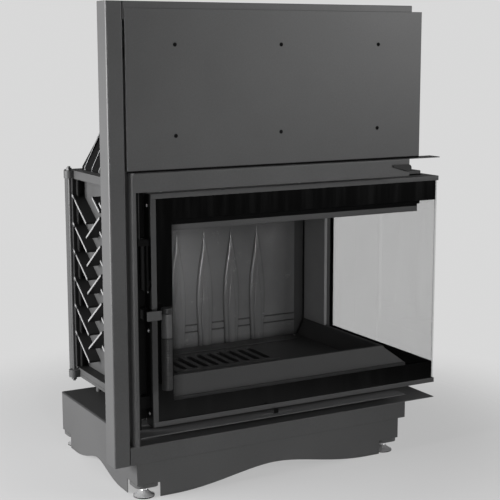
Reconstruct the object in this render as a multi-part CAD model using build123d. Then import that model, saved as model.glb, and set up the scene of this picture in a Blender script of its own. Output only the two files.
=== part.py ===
"""Fireplace insert with an L-shaped glass door that lifts straight up.

The insert is a cast firebox on a folded steel base. A left column, a front
portal with an upper cover, and a rear right post carry the lift door. Cables
run over two sheaves to counterweights that hang in the column and the post.

While the pieces are modelled, the origin is the door's lower left front
corner: X runs to the right, Y to the back and Z up. Before they are written,
all pieces shift so that the origin lies on the floor under the middle.
"""

from build123d import *
import math
import os

# Door: outer size, folded sections and glass
door_width = 815.0
door_height = 550.0
door_side_depth = 517.0
door_frame_depth = 40.0
door_side_frame = 20.0
rail_face = 12.0
stile_face = 14.0
door_sheet = 2.5
glass_thickness = 4.0
glass_seat_gap = 0.3
left_stile_rear_lip = 28.0
seal_width = 9.0
seal_gap = 0.3
door_to_body = 5.0
door_screw_radius = 4.0
door_screw_head = 0.8
door_side_screws = (29.7, 229.0, 322.0)
door_screw_top_inset = 28.0
door_top_screws = (42.0, 414.5)

# Handle and its bracket
handle_radius = 13.0
handle_x = 25.0
handle_y = -27.0
handle_bottom = 96.0
handle_sleeve_bottom = 217.0
handle_sleeve_top = 271.0
handle_top = 290.0
handle_groove = 0.8
handle_edge = 1.5
bracket_bottom = 258.0
bracket_height = 22.0
bracket_thickness = 6.0
bracket_reach = 16.0
bracket_drop = 28.0

# Portal, sill and cover in front of the door
portal_front = -44.0
portal_sheet = 2.0
band_clearance = 10.0
band_height = 44.0
band_end_inset = 126.0
band_fold_radius = 4.0
flange_inset = 32.0
door_pass_gap = 3.0
handle_notch_margin = 6.0
lip_left = -70.0
lip_width = 20.0
lip_depth = 44.0
sill_drop = 4.4
air_slot_height = 17.6
panel_height = 42.0
panel_overhang = 1.0
buffer_small_end = (48.0, 26.5, 3.4)
buffer_big_end = (4.0, 20.0, 9.0)
buffer_thickness = 3.2

cover_left = -74.0
cover_overhang = 27.5
cover_gap = 5.0
cover_height = 353.0
cover_return = 12.0
cover_screw_left_inset = 119.0
cover_screw_right_inset = 128.5
cover_screw_low_inset = 74.0
cover_screw_high_inset = 78.0
cover_screw_radius = 4.6
cover_screw_head = 1.5
cover_screw_bevel = 1.0
strap_width = 16.0
strap_thickness = 3.0

# Left column and upper beams
column_left = -117.0
column_width = 39.0
column_depth = 52.0
column_wall = 2.0
column_corner = 4.0
column_foot_drop = 67.0
frame_above_cover = 15.0
beam_size = 40.0
beam_wall = 3.0
side_beam_inset = 1.0
body_tie_height = 36.0
body_tie_depth = 30.0

# Rear right post
post_inset = 79.0
post_width = 72.0
post_behind_door = 27.0
post_depth = 40.0
post_wall = 2.5

# Base
base_left = -62.0
base_inset = 19.0
base_front = -42.0
base_back_inset = 93.0
base_sheet = 2.0
base_plate = 4.0
base_plate_edge = 3.4
base_top = -15.0
floor_level = -155.0
skirt_clearance = 2.0
corner_notch = 58.0
notch_level = -118.0
front_wave_rise = 31.5
side_wave_rise = 29.0
wave_flat = 36.0
flange_plate_back = 48.0
outrigger_height = 34.0
outrigger_wall = 3.0
outrigger_width = 40.0
outrigger_inset = 48.0

# Levelling feet
foot_disc_radius = 25.0
foot_disc_edge = 3.5
foot_cone_height = 12.0
foot_hex_flats = 19.0
foot_hex_height = 9.0
foot_stem_radius = 6.0
foot_stem_top = -60.0
running_gap = 0.05
foot_bracket_sheet = 3.0
foot_bracket_rim = 9.0
foot_bracket_corner = 16.0
foot_nut_height = 10.0
foot_nut_flats = 22.0

# Cast firebox
body_left = 7.0
body_behind_wall = 22.0
cast_wall = 8.0
cast_plate = 8.0
body_bottom = 4.0
body_above_door = 11.0
plate_rim_width = 4.0
plate_rim_height = 20.0
left_wall_x = 40.0
flange_thickness = 8.0
flange_band = 15.0
rear_strip_left = -5.0
strip_bead_x = 19.5
strip_bead_width = 5.0
strip_bead_depth = 10.0
fin_columns = 5
fin_column_pitch = 94.0
fin_rows = 6
fin_pitch = 73.8
fin_first_z = 88.7
fin_stub_z = 498.0
fin_thickness = 6.0
fin_slope_deg = 34.0
back_wall_behind_door = 2.0
back_rib_count = 9
back_rib_depth = 13.0
back_rib_thickness = 7.0
right_wall_inset = 68.0
right_wall_depth = 134.0
jamb_inset = 20.0
lug_reach = 26.0
right_lug_reach = 22.0
lug_length = 28.0
rod_radius = 4.0
rod_nut_flats = 13.0
rod_nut_height = 6.5
standoff_radius = 7.0
standoff_left_inset = 17.0
standoff_right_inset = 30.0
standoff_front_y = 120.0
standoff_back_inset = 45.0

# Lintel and air wash strip over the door opening
lintel_drop = 87.0
lintel_thickness = 5.0
strip_drop = 14.0
strip_height = 27.0
strip_thickness = 3.0

# Hearth, grate and liners
hearth_top = 42.0
hearth_plate = 8.0
hearth_front = 100.0
hearth_gap = 2.0
hearth_wall = 8.0
liner_gap = 0.3
liner_thickness = 14.0
liner_drop = 4.0
back_liner_depth = 2.0
right_liner_thickness = 9.7
flute_count = 4
flute_first_x = 300.0
flute_pitch = 84.5
flute_half_width = 24.0
flute_bottom = 52.0
flute_tip_drop = 93.0
flute_depth = 4.0
flute_bead_scale = 0.62
groove_pair_z = (90.0, 106.0)
groove_height = 5.0
groove_width = 26.0
groove_depth = 2.5
grate_left = 190.0
grate_width = 310.0
grate_front = 270.0
grate_depth = 150.0
grate_thickness = 8.0
grate_ledge = 6.0
grate_slots = 9
grate_slot_width = 17.0
grate_slot_margin = 14.0
grate_gap = 1.0
grate_lift = 60.0
retainer_front = 56.0
retainer_top = 98.0
retainer_lean = 14.0
retainer_thickness = 9.0
retainer_foot_height = 50.0
retainer_left = 68.0
retainer_overlap = 35.0
retainer_slant = 63.0
side_retainer_top = 88.0
side_retainer_thickness = 10.0
side_retainer_slope = 22.0
ash_pan_depth = 20.0
ash_pan_margin = 8.0
ash_pan_wall = 1.5
deflector_front = 230.0
deflector_thickness = 22.0

# Smoke hood and flue collar
hood_left_inset = 25.0
hood_right_inset = 32.0
hood_front = 95.0
hood_back_inset = 36.0
hood_flange_height = 8.0
hood_wall = 6.0
hood_rise = 239.0
hood_side_run = 133.0
hood_front_run = 92.0
hood_back_run = 16.0
hood_rib_inset = 19.0
hood_rib_pitch = 49.5
hood_rib_count = 8
hood_rib_height = 16.0
hood_rib_thickness = 6.0
collar_radius = 100.0
collar_wall = 4.0
collar_height = 60.0
hood_throat_margin = 30.0

# Combustion air
spigot_radius = 62.5
spigot_wall = 2.0
spigot_length = 70.0
spigot_x = 304.0
spigot_y = 220.0
air_tab_x = 318.0
air_tab_width = 12.0
air_tab_top = 6.0
air_tab_y = -24.0
air_travel = 35.0
air_plate_length = 400.0
air_windows = 6
air_window_width = 32.0
air_window_height = 6.0

# Lift gear: channels, rollers, carriages, sheaves, cables, weights
channel_inner = 20.0
channel_depth = 21.0
channel_wall = 3.0
left_channel_x = -46.0
left_channel_y = 11.5
right_channel_inset = 34.0
channel_below_sheave = 40.0
roller_gap = 0.3
roller_width = 12.0
roller_drop = 20.0
pin_radius = 4.0
carriage_plate = 5.0
carriage_height = 120.0
carriage_drop = 100.0
left_carriage_x = -21.0
carriage_arm_height = 15.0
carriage_arm_inset = 5.0
carriage_arm_depth = 20.0
cable_clamp = 14.0
shoe_height = 30.0
lower_shoe_z = 44.0
cable_radius = 1.5
cable_seat_gap = 0.3
sheave_drop = 87.0
sheave_width = 10.0
sheave_rim = 1.5
sheave_lip = 1.0
cable_sides = 8
axle_radius = 5.0
hanger_plate = 2.5
hanger_gap = 2.5
hanger_height = 59.0
hanger_width = 20.0
left_cable_x = -35.0
left_cable_y = -14.0
right_cable_behind_door = 2.5
right_sheave_radius = 22.25
weight_gap = 2.0
weight_drop = 45.0
left_weight_height = 520.0
right_weight_height = 480.0
right_weight_depth = 30.0

# Places that follow from the sizes above
body_front = door_frame_depth + door_to_body
side_inset = door_side_frame + door_to_body
body_right = door_width - side_inset
body_top = door_height + body_above_door
right_wall_x = body_right - right_wall_inset
back_wall_y = door_side_depth + back_wall_behind_door
body_back = back_wall_y + body_behind_wall
jamb_y = door_side_depth - jamb_inset
right_wall_front = back_wall_y - right_wall_depth
band_bottom = door_height + band_clearance
band_top = band_bottom + band_height
band_right = door_width - band_end_inset
panel_right = band_right + panel_overhang
flange_right = door_width - flange_inset
lip_right = lip_left + lip_width
sill_top = -sill_drop
flange_plate_top = sill_top - portal_sheet - air_slot_height
skirt_bottom = floor_level + skirt_clearance
column_right = column_left + column_width
column_back = portal_front + column_depth
cover_bottom = band_top + cover_gap
cover_top = cover_bottom + cover_height
cover_right = band_right + cover_overhang
cover_screw_first = cover_left + cover_screw_left_inset
cover_screw_last = cover_right - cover_screw_right_inset
cover_screw_columns = (cover_screw_first, (cover_screw_first + cover_screw_last) / 2, cover_screw_last)
cover_screw_rows = (cover_bottom + cover_screw_low_inset, cover_top - cover_screw_high_inset)
frame_top = cover_top + frame_above_cover
beam_bottom = frame_top - beam_size
side_beam_right = band_right - side_beam_inset
side_beam_left = side_beam_right - beam_size
post_left = door_width - post_inset
post_right = post_left + post_width
post_front = door_side_depth + post_behind_door
post_back = post_front + post_depth
base_right = band_right - base_inset
base_back = body_back - base_back_inset
outrigger_front = base_back - outrigger_inset
standoff_columns = (body_left + standoff_left_inset, base_right - standoff_right_inset)
standoff_rows = (standoff_front_y, base_back - standoff_back_inset)
wall_bottom = body_bottom + cast_plate
wall_top = body_top - cast_plate
lintel_bottom = body_top - lintel_drop
strip_bottom = lintel_bottom - strip_drop
liner_top = lintel_bottom - liner_drop
left_liner_face = left_wall_x + cast_wall + liner_gap
back_liner_face = jamb_y - back_liner_depth
flute_tip = liner_top - flute_tip_drop
hearth_left = left_wall_x + cast_wall + hearth_gap
hearth_right = right_wall_x - hearth_gap
retainer_right_foot = right_wall_x + retainer_overlap
retainer_right_top = retainer_right_foot - retainer_slant
retainer_back = retainer_front + retainer_lean + retainer_thickness
hood_left = body_left + hood_left_inset
hood_right = right_wall_x - hood_right_inset
hood_back = body_back - hood_back_inset
hood_top = body_top + hood_rise
hood_middle_x = (hood_left + hood_right) / 2
hood_middle_y = (hood_front + hood_back) / 2
sheave_z = frame_top - sheave_drop
weight_rest_top = sheave_z - weight_drop
channel_top_right = sheave_z - channel_below_sheave
carriage_top = door_height - carriage_drop
carriage_bottom = carriage_top - carriage_height
roller_z = carriage_top - roller_drop
left_weight_x = (column_left + column_right) / 2
left_sheave_radius = (left_cable_x - left_weight_x) / 2
left_sheave_x = (left_cable_x + left_weight_x) / 2
right_channel_x = door_width - right_channel_inset
right_cable_x = post_left + post_width / 2
right_cable_y = door_side_depth + right_cable_behind_door
right_sheave_y = right_cable_y + right_sheave_radius
right_weight_cable_y = right_cable_y + 2 * right_sheave_radius
roller_radius = channel_inner / 2 - roller_gap
left_roller_y = left_channel_y + channel_wall + channel_inner / 2
right_roller_x = right_channel_x + channel_wall + channel_inner / 2
far = 2000.0

pieces = {}


def group(*shapes):
    """One piece made of several separate solids."""
    return Compound([solid for shape in shapes for solid in shape.solids()])


def block(x0, x1, y0, y1, z0, z1):
    """Box between two corners."""
    size = Box(x1 - x0, y1 - y0, z1 - z0, align=(Align.MIN, Align.MIN, Align.MIN))
    return Pos(x0, y0, z0) * size


def rod_z(x, y, z0, z1, radius):
    """Upright round rod."""
    bottom = (Align.CENTER, Align.CENTER, Align.MIN)
    return Pos(x, y, z0) * Cylinder(radius, z1 - z0, align=bottom)


def rod_x(x0, x1, y, z, radius):
    """Round rod along X."""
    bottom = (Align.CENTER, Align.CENTER, Align.MIN)
    return Pos(x0, y, z) * Rot(0, 90, 0) * Cylinder(radius, x1 - x0, align=bottom)


def rod_y(x, y0, y1, z, radius):
    """Round rod along Y."""
    bottom = (Align.CENTER, Align.CENTER, Align.MIN)
    return Pos(x, y0, z) * Rot(-90, 0, 0) * Cylinder(radius, y1 - y0, align=bottom)


def hex_z(x, y, z0, z1, flats):
    """Upright hexagonal prism, sized across its flats."""
    corner_radius = flats / math.sqrt(3)
    return Pos(x, y, z0) * extrude(RegularPolygon(corner_radius, 6), z1 - z0)


def prism_x(points, x0, x1):
    """Outline of (y, z) points carried along X."""
    face = make_face(Polyline(*[(x0, y, z) for y, z in points], close=True))
    return extrude(face, x1 - x0, dir=(1, 0, 0))


def prism_y(points, y0, y1):
    """Outline of (x, z) points carried along Y."""
    face = make_face(Polyline(*[(x, y0, z) for x, z in points], close=True))
    return extrude(face, y1 - y0, dir=(0, 1, 0))


def corner_band(front, side, z0, z1, x_start, y_end):
    """Upright L-shaped wall that follows the door's outer corner.

    Each run is given by its near and far distance inside the door's outer face.
    """
    near_x = door_width - side[0]
    far_x = door_width - side[1]
    front_run = block(x_start, near_x, front[0], front[1], z0, z1)
    side_run = block(far_x, near_x, front[0], y_end, z0, z1)
    return front_run + side_run


def span(start, thickness):
    """Near and far distance of a wall of this thickness."""
    return (start, start + thickness)


def tube_block(x0, x1, y0, y1, z0, z1, wall, axis):
    """Rectangular tube, open along the named axis."""
    grow = {"X": (0, wall, wall), "Y": (wall, 0, wall), "Z": (wall, wall, 0)}[axis]
    inner = block(x0 + grow[0], x1 - grow[0], y0 + grow[1], y1 - grow[1], z0 + grow[2], z1 - grow[2])
    return block(x0, x1, y0, y1, z0, z1) - inner


def wave_cutter(start, end, rise, along):
    """Cutter for the smooth arch in a skirt's lower edge, through the whole base."""
    middle = (start + end) / 2
    low = skirt_bottom
    if along == "X":
        places = [(start, -far, low), (middle, -far, low + rise), (end, -far, low)]
        level = (1, 0, 0)
        under = [(end, -far, low), (end, -far, low - rise), (start, -far, low - rise), (start, -far, low)]
        push = (0, 1, 0)
    else:
        places = [(-far, start, low), (-far, middle, low + rise), (-far, end, low)]
        level = (0, 1, 0)
        under = [(-far, end, low), (-far, end, low - rise), (-far, start, low - rise), (-far, start, low)]
        push = (1, 0, 0)
    arch = Spline(*places, tangents=[level, level])
    outline = Wire([*arch.edges(), *Polyline(*under).edges()])
    return extrude(Face(outline), 2 * far, dir=push)


def make_base():
    """Skirts, top plate, foot brackets, flange plate and the arm under the rear post."""
    ring = block(base_left, base_right, base_front, base_back, skirt_bottom, base_top - base_plate)
    room = block(base_left + base_sheet, base_right - base_sheet, base_front + base_sheet,
                 base_back - base_sheet, skirt_bottom, base_top)
    step = block(base_left, base_right, base_front, flange_plate_back, flange_plate_top - portal_sheet, base_top)
    ring = ring - room - step
    for x0 in (base_left, base_right - corner_notch):
        for y0 in (base_front, base_back - corner_notch):
            ring = ring - block(x0, x0 + corner_notch, y0, y0 + corner_notch, skirt_bottom, notch_level)
    flat = corner_notch + wave_flat
    ring = ring - wave_cutter(base_left + flat, base_right - flat, front_wave_rise, "X")
    ring = ring - wave_cutter(base_front + flat, base_back - flat, side_wave_rise, "Y")
    pieces["base_skirts"] = ring

    plate = block(base_left, base_right, flange_plate_back, base_back, base_top - base_plate, base_top)
    rim = plate.faces().sort_by(Axis.Z)[-1].edges()
    rim = rim.filter_by(lambda edge: edge.center().Y > flange_plate_back + 1)
    plate = fillet(rim, base_plate_edge)
    riser_bottom = flange_plate_top
    plate = plate + block(base_left + base_sheet, base_right - base_sheet, flange_plate_back,
                          flange_plate_back + base_plate, riser_bottom, base_top - base_plate)
    plate = plate - rod_z(spigot_x, spigot_y, base_top - 2 * base_plate, base_top + 1, spigot_radius - spigot_wall)
    pieces["base_top_plate"] = plate

    brackets = []
    for x in (base_left, base_right - corner_notch):
        for y in (base_front, base_back - corner_notch):
            brackets.append(foot_bracket(x, y))
    pieces["foot_brackets"] = group(*brackets)

    low = flange_plate_top - portal_sheet
    flange = block(column_right, flange_right, base_front, flange_plate_back, low, flange_plate_top)
    flange = flange + block(base_right, flange_right, flange_plate_back, post_back, low, flange_plate_top)
    flange = flange + block(base_right, post_right, jamb_y, post_back, low, flange_plate_top)
    pieces["bottom_flange_plate"] = flange

    arm_low = low - outrigger_height
    arm_right = post_right - channel_depth
    cross_arm = tube_block(base_right, arm_right, outrigger_front, outrigger_front + outrigger_width,
                           arm_low, low, outrigger_wall, "X")
    back_arm = tube_block(arm_right - outrigger_width, arm_right, outrigger_front + outrigger_width,
                          post_back, arm_low, low, outrigger_wall, "Y")
    pieces["side_outrigger"] = cross_arm + back_arm


def foot_bracket(x0, y0):
    """Shallow rimmed plate under one corner of the skirts, with its welded nut."""
    middle_x = x0 + corner_notch / 2
    middle_y = y0 + corner_notch / 2
    side = corner_notch
    low = notch_level - foot_bracket_rim
    outer = Pos(middle_x, middle_y, low) * extrude(RectangleRounded(side, side, foot_bracket_corner), foot_bracket_rim)
    inner_side = side - 2 * foot_bracket_sheet
    inner_corner = foot_bracket_corner - foot_bracket_sheet
    hollow = extrude(RectangleRounded(inner_side, inner_side, inner_corner), foot_bracket_rim - foot_bracket_sheet)
    tray = outer - Pos(middle_x, middle_y, low) * hollow
    tray = tray + hex_z(middle_x, middle_y, notch_level, notch_level + foot_nut_height, foot_nut_flats)
    return tray - rod_z(middle_x, middle_y, low, base_top, foot_stem_radius + running_gap)


def make_feet():
    """Four levelling feet: disc with a cone, hexagon and threaded stem."""
    names = {
        "foot_front_left": (base_left, base_front),
        "foot_front_right": (base_right - corner_notch, base_front),
        "foot_back_left": (base_left, base_back - corner_notch),
        "foot_back_right": (base_right - corner_notch, base_back - corner_notch),
    }
    cone_top = floor_level + foot_disc_edge + foot_cone_height
    neck = foot_stem_radius + 2 * running_gap + 2.0
    outline = [
        (0, floor_level),
        (foot_disc_radius, floor_level),
        (foot_disc_radius, floor_level + foot_disc_edge),
        (neck + 2.0, cone_top - 2.0),
        (neck, cone_top),
        (0, cone_top),
    ]
    disc = revolve(make_face(Polyline(*[(r, 0, z) for r, z in outline], close=True)), Axis.Z)
    for name, (x0, y0) in names.items():
        x = x0 + corner_notch / 2
        y = y0 + corner_notch / 2
        foot = Pos(x, y, 0) * disc
        foot = foot + hex_z(x, y, cone_top, cone_top + foot_hex_height, foot_hex_flats)
        foot = foot + rod_z(x, y, cone_top + foot_hex_height, foot_stem_top, foot_stem_radius)
        pieces[name] = foot


def make_front():
    """Portal, sill, bottom panel and upper cover."""
    panel_low = flange_plate_top - panel_height
    panel = block(column_right, panel_right, portal_front, base_front, panel_low, flange_plate_top)
    pieces["bottom_panel"] = panel

    low = sill_top - portal_sheet
    ledge = block(lip_right, band_right, portal_front, body_front - 1, low, sill_top)
    ledge = ledge + block(lip_right, band_right, body_front - 1 - portal_sheet, body_front - 1,
                          flange_plate_top, low)
    slot_half = air_travel + air_tab_width
    ledge = ledge - block(air_tab_x - slot_half, air_tab_x + slot_half, air_tab_y - 1,
                          air_tab_y + portal_sheet + 1, low, sill_top)
    window_pitch = air_plate_length / air_windows
    first = air_tab_x - air_plate_length / 2 + window_pitch / 2
    window_low = (flange_plate_top + low) / 2 - air_window_height / 2
    for index in range(air_windows):
        x = first + index * window_pitch
        ledge = ledge - block(x - air_window_width / 2, x + air_window_width / 2, body_front - 10,
                              body_front, window_low, window_low + air_window_height)
    pieces["sill_ledge"] = ledge

    radius = lip_width / 2
    nose = rod_z(lip_left + radius, portal_front + radius, flange_plate_top, band_top, radius)
    shell = nose + block(lip_left, lip_right, portal_front + radius, portal_front + lip_depth, flange_plate_top, band_top)
    inner = rod_z(lip_left + radius, portal_front + radius, flange_plate_top, band_top - portal_sheet,
                  radius - portal_sheet)
    inner = inner + block(lip_left + portal_sheet, lip_right - portal_sheet, portal_front + radius,
                          portal_front + lip_depth, flange_plate_top, band_top - portal_sheet)
    lip = shell - inner

    fold = band_fold_radius
    back = portal_front + portal_sheet
    face = block(lip_right - radius, band_right, portal_front, back, band_bottom, band_top - fold)
    bend = rod_x(lip_right - radius, band_right, portal_front + fold, band_top - fold, fold)
    bend = bend - rod_x(lip_right - radius, band_right, portal_front + fold, band_top - fold, fold - portal_sheet)
    bend = bend & block(lip_left, band_right, portal_front, portal_front + fold, band_top - fold, band_top)
    top = block(lip_right - radius, band_right, portal_front + fold, -door_pass_gap, band_top - portal_sheet, band_top)
    top = top + block(band_right, flange_right, portal_front, -door_pass_gap, band_top - portal_sheet, band_top)
    notch_right = handle_x + handle_radius + handle_notch_margin
    notch = block(lip_right, notch_right, back + 1, 0, band_top - 2 * fold, band_top)
    band = (face + bend + top) - notch - inner
    pieces["portal_frame"] = lip + band
    pieces["band_buffer"] = band_buffer()

    cover_back = portal_front
    cover_front = portal_front - portal_sheet
    cover = block(cover_left, cover_right, cover_front, cover_back, cover_bottom, cover_top)
    for x0 in (cover_left, cover_right - portal_sheet):
        cover = cover + block(x0, x0 + portal_sheet, cover_back, cover_back + cover_return, cover_bottom,
                              beam_bottom - 1)
    pieces["upper_cover"] = cover

    screws = []
    for x in cover_screw_columns:
        for z in cover_screw_rows:
            head = rod_y(x, cover_front - cover_screw_head, cover_front, z, cover_screw_radius)
            rim = head.faces().sort_by(Axis.Y)[0].edges()
            screws.append(chamfer(rim, cover_screw_bevel))
    pieces["cover_screws"] = group(*screws)


def band_buffer():
    """Black drop-shaped buffer on the face of the band, at its right end."""
    front = portal_front - buffer_thickness
    small_inset, small_rise, small_radius = buffer_small_end
    big_inset, big_rise, big_radius = buffer_big_end
    small_x = band_right - small_inset
    big_x = band_right - big_inset
    small_z = band_bottom + small_rise
    big_z = band_bottom + big_rise
    lean = math.atan2(big_z - small_z, big_x - small_x)
    taper = math.asin((big_radius - small_radius) / math.hypot(big_x - small_x, big_z - small_z))
    corners = []
    for turn in (lean + math.pi / 2 + taper, lean - math.pi / 2 - taper):
        corners.append((big_x + big_radius * math.cos(turn), big_z + big_radius * math.sin(turn)))
        corners.append((small_x + small_radius * math.cos(turn), small_z + small_radius * math.sin(turn)))
    web = prism_y([corners[0], corners[1], corners[3], corners[2]], front, portal_front)
    small_end = rod_y(small_x, front, portal_front, small_z, small_radius)
    big_end = rod_y(big_x, front, portal_front, big_z, big_radius)
    return web + small_end + big_end


def make_frame():
    """Left column, upper beams, rear post and the shelf above the side door."""
    foot = -column_foot_drop
    height = frame_top - foot
    middle_x = (column_left + column_right) / 2
    middle_y = (portal_front + column_back) / 2
    outer = extrude(RectangleRounded(column_width, column_depth, column_corner), height)
    inner = extrude(RectangleRounded(column_width - 2 * column_wall, column_depth - 2 * column_wall,
                                     column_corner - column_wall), height - 2 * column_wall)
    column = Pos(middle_x, middle_y, foot) * outer - Pos(middle_x, middle_y, foot + column_wall) * inner
    slot_half = sheave_width / 2 + hanger_gap + hanger_plate + 2
    sheave_outer = left_sheave_radius + cable_radius + sheave_rim
    column = column - block(column_right - 2 * column_wall, column_right + 1, left_cable_y - slot_half,
                            left_cable_y + slot_half, sheave_z - sheave_outer - 4, sheave_z + sheave_outer + 2)
    tie_low = foot
    tie = block(column_right, base_left, base_front, base_front + body_tie_depth, tie_low, tie_low + body_tie_height)
    tie = tie - block(column_right, base_left, base_front + beam_wall, base_front + body_tie_depth,
                      tie_low + beam_wall, tie_low + body_tie_height - beam_wall)
    pieces["left_column"] = group(column, tie)

    front_beam = tube_block(column_right, side_beam_right, portal_front, portal_front + beam_size,
                            beam_bottom, frame_top, beam_wall, "X")
    side_beam = tube_block(side_beam_left, side_beam_right, portal_front + beam_size, post_back,
                           beam_bottom, frame_top, beam_wall, "Y")
    rear_beam = tube_block(side_beam_right, post_right, post_back - beam_size, post_back,
                           beam_bottom, frame_top, beam_wall, "X")
    frame = front_beam + side_beam + rear_beam
    for x in cover_screw_columns:
        frame = frame + block(x - strap_width / 2, x + strap_width / 2, portal_front,
                              portal_front + strap_thickness, band_top, beam_bottom)
    pieces["upper_frame"] = frame

    post = tube_block(post_left, post_right, post_front, post_back, flange_plate_top, beam_bottom, post_wall, "Z")
    slot_half = sheave_width / 2 + hanger_gap + hanger_plate + 3
    sheave_outer = right_sheave_radius + cable_radius + sheave_rim
    post = post - block(right_cable_x - slot_half, right_cable_x + slot_half, post_front - 1,
                        post_front + post_wall + 1, sheave_z - sheave_outer - 8, beam_bottom)
    pieces["rear_post"] = post

    shelf = block(side_beam_right, flange_right, body_front, jamb_y + cast_wall, band_top - portal_sheet, band_top)
    for y in standoff_rows:
        shelf = shelf + block(side_beam_right, side_beam_right + portal_sheet, y, y + strap_width * 2,
                              band_top, frame_top - beam_size / 2)
    pieces["top_side_shelf"] = shelf


def lug(x_edge, reach, middle_y, z0, z1):
    """Rounded ear beside a plate's edge, to be bored for a tie rod."""
    radius = lug_length / 2
    centre = x_edge + reach - math.copysign(radius, reach)
    inside = x_edge - math.copysign(2 * radius, reach)
    ear = block(min(x_edge, centre), max(x_edge, centre), middle_y - radius, middle_y + radius, z0, z1)
    ear = ear + rod_z(centre, middle_y, z0, z1, radius)
    return ear - block(min(x_edge, inside), max(x_edge, inside), middle_y - radius, middle_y + radius, z0, z1)


def rod_places():
    """Tie rod axes: rear left, front left and rear right."""
    radius = lug_length / 2
    left_x = body_left - lug_reach + radius
    right_x = right_wall_x + cast_wall + right_lug_reach - radius
    return [(left_x, back_wall_y - radius), (left_x, body_front + lug_length), (right_x, body_back - radius)]


def cast_plate_shape(z0, z1, lug_low, lug_high):
    """Floor or top plate of the firebox, with its ears."""
    plate = block(body_left, body_right, body_front, jamb_y + cast_wall, z0, z1)
    plate = plate + block(body_left, right_wall_x + cast_wall, jamb_y, body_back, z0, z1)
    plate = plate + block(rear_strip_left, body_left, back_wall_y, body_back, z0, z1)
    for x, y in rod_places():
        if x < body_left:
            plate = plate + lug(body_left, -lug_reach, y, lug_low, lug_high)
        else:
            plate = plate + lug(right_wall_x + cast_wall, right_lug_reach, y, lug_low, lug_high)
    for x, y in rod_places():
        plate = plate - rod_z(x, y, lug_low, lug_high, rod_radius + running_gap)
    return plate


def make_firebox():
    """Cast plates and walls, lintel, tie rods and stand-offs."""
    pieces["firebox_floor_plate"] = cast_plate_shape(body_bottom, wall_bottom, body_bottom,
                                                     body_bottom + plate_rim_height)

    rim_low = body_top - plate_rim_height
    top = cast_plate_shape(wall_top, body_top, rim_low, body_top)
    top = top + block(body_left - plate_rim_width, body_left, body_front, body_front + lug_length / 2, rim_low, body_top)
    top = top + block(body_left - plate_rim_width, body_left, body_front + 1.5 * lug_length,
                      back_wall_y - lug_length, rim_low, body_top)
    margin = hood_throat_margin
    top = top - block(hood_left + margin, hood_right - margin, hood_front + margin, hood_back - margin,
                      wall_top, body_top)
    pieces["firebox_top_plate"] = top

    pieces["firebox_left_wall"] = left_wall()

    back = block(left_wall_x + cast_wall, right_wall_x, back_wall_y, back_wall_y + cast_wall, wall_bottom, wall_top)
    rib_room = right_wall_x - left_wall_x - 2 * cast_wall
    rib_pitch = rib_room / (back_rib_count + 1)
    rib_back = back_wall_y + cast_wall + back_rib_depth
    for index in range(back_rib_count):
        x = left_wall_x + cast_wall + (index + 1) * rib_pitch
        back = back + block(x - back_rib_thickness / 2, x + back_rib_thickness / 2, back_wall_y, rib_back,
                            wall_bottom, wall_top)
    pieces["firebox_back_wall"] = back

    right = block(right_wall_x, right_wall_x + cast_wall, right_wall_front, back_wall_y + cast_wall,
                  wall_bottom, wall_top)
    right = right + block(right_wall_x, body_right, jamb_y, jamb_y + cast_wall, wall_bottom, wall_top)
    pieces["firebox_right_wall"] = right

    inner_left = left_wall_x + cast_wall
    lintel = corner_band(span(body_front, lintel_thickness), span(side_inset, lintel_thickness),
                         lintel_bottom, wall_top, inner_left, jamb_y)
    pieces["door_lintel"] = lintel
    strip = corner_band(span(body_front + lintel_thickness, strip_thickness),
                        span(side_inset + lintel_thickness, strip_thickness),
                        strip_bottom, strip_bottom + strip_height, inner_left, jamb_y)
    pieces["air_wash_strip"] = strip

    rods = []
    for x, y in rod_places():
        rod = rod_z(x, y, body_bottom - rod_nut_height - 4, body_top + rod_nut_height + 4, rod_radius)
        rod = rod + hex_z(x, y, body_top, body_top + rod_nut_height, rod_nut_flats)
        rod = rod + hex_z(x, y, body_bottom - rod_nut_height, body_bottom, rod_nut_flats)
        rods.append(rod)
    pieces["tie_rods"] = group(*rods)

    standoffs = []
    for x in standoff_columns:
        for y in standoff_rows:
            standoffs.append(rod_z(x, y, base_top, body_bottom, standoff_radius))
    pieces["standoffs"] = group(*standoffs)


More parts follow.
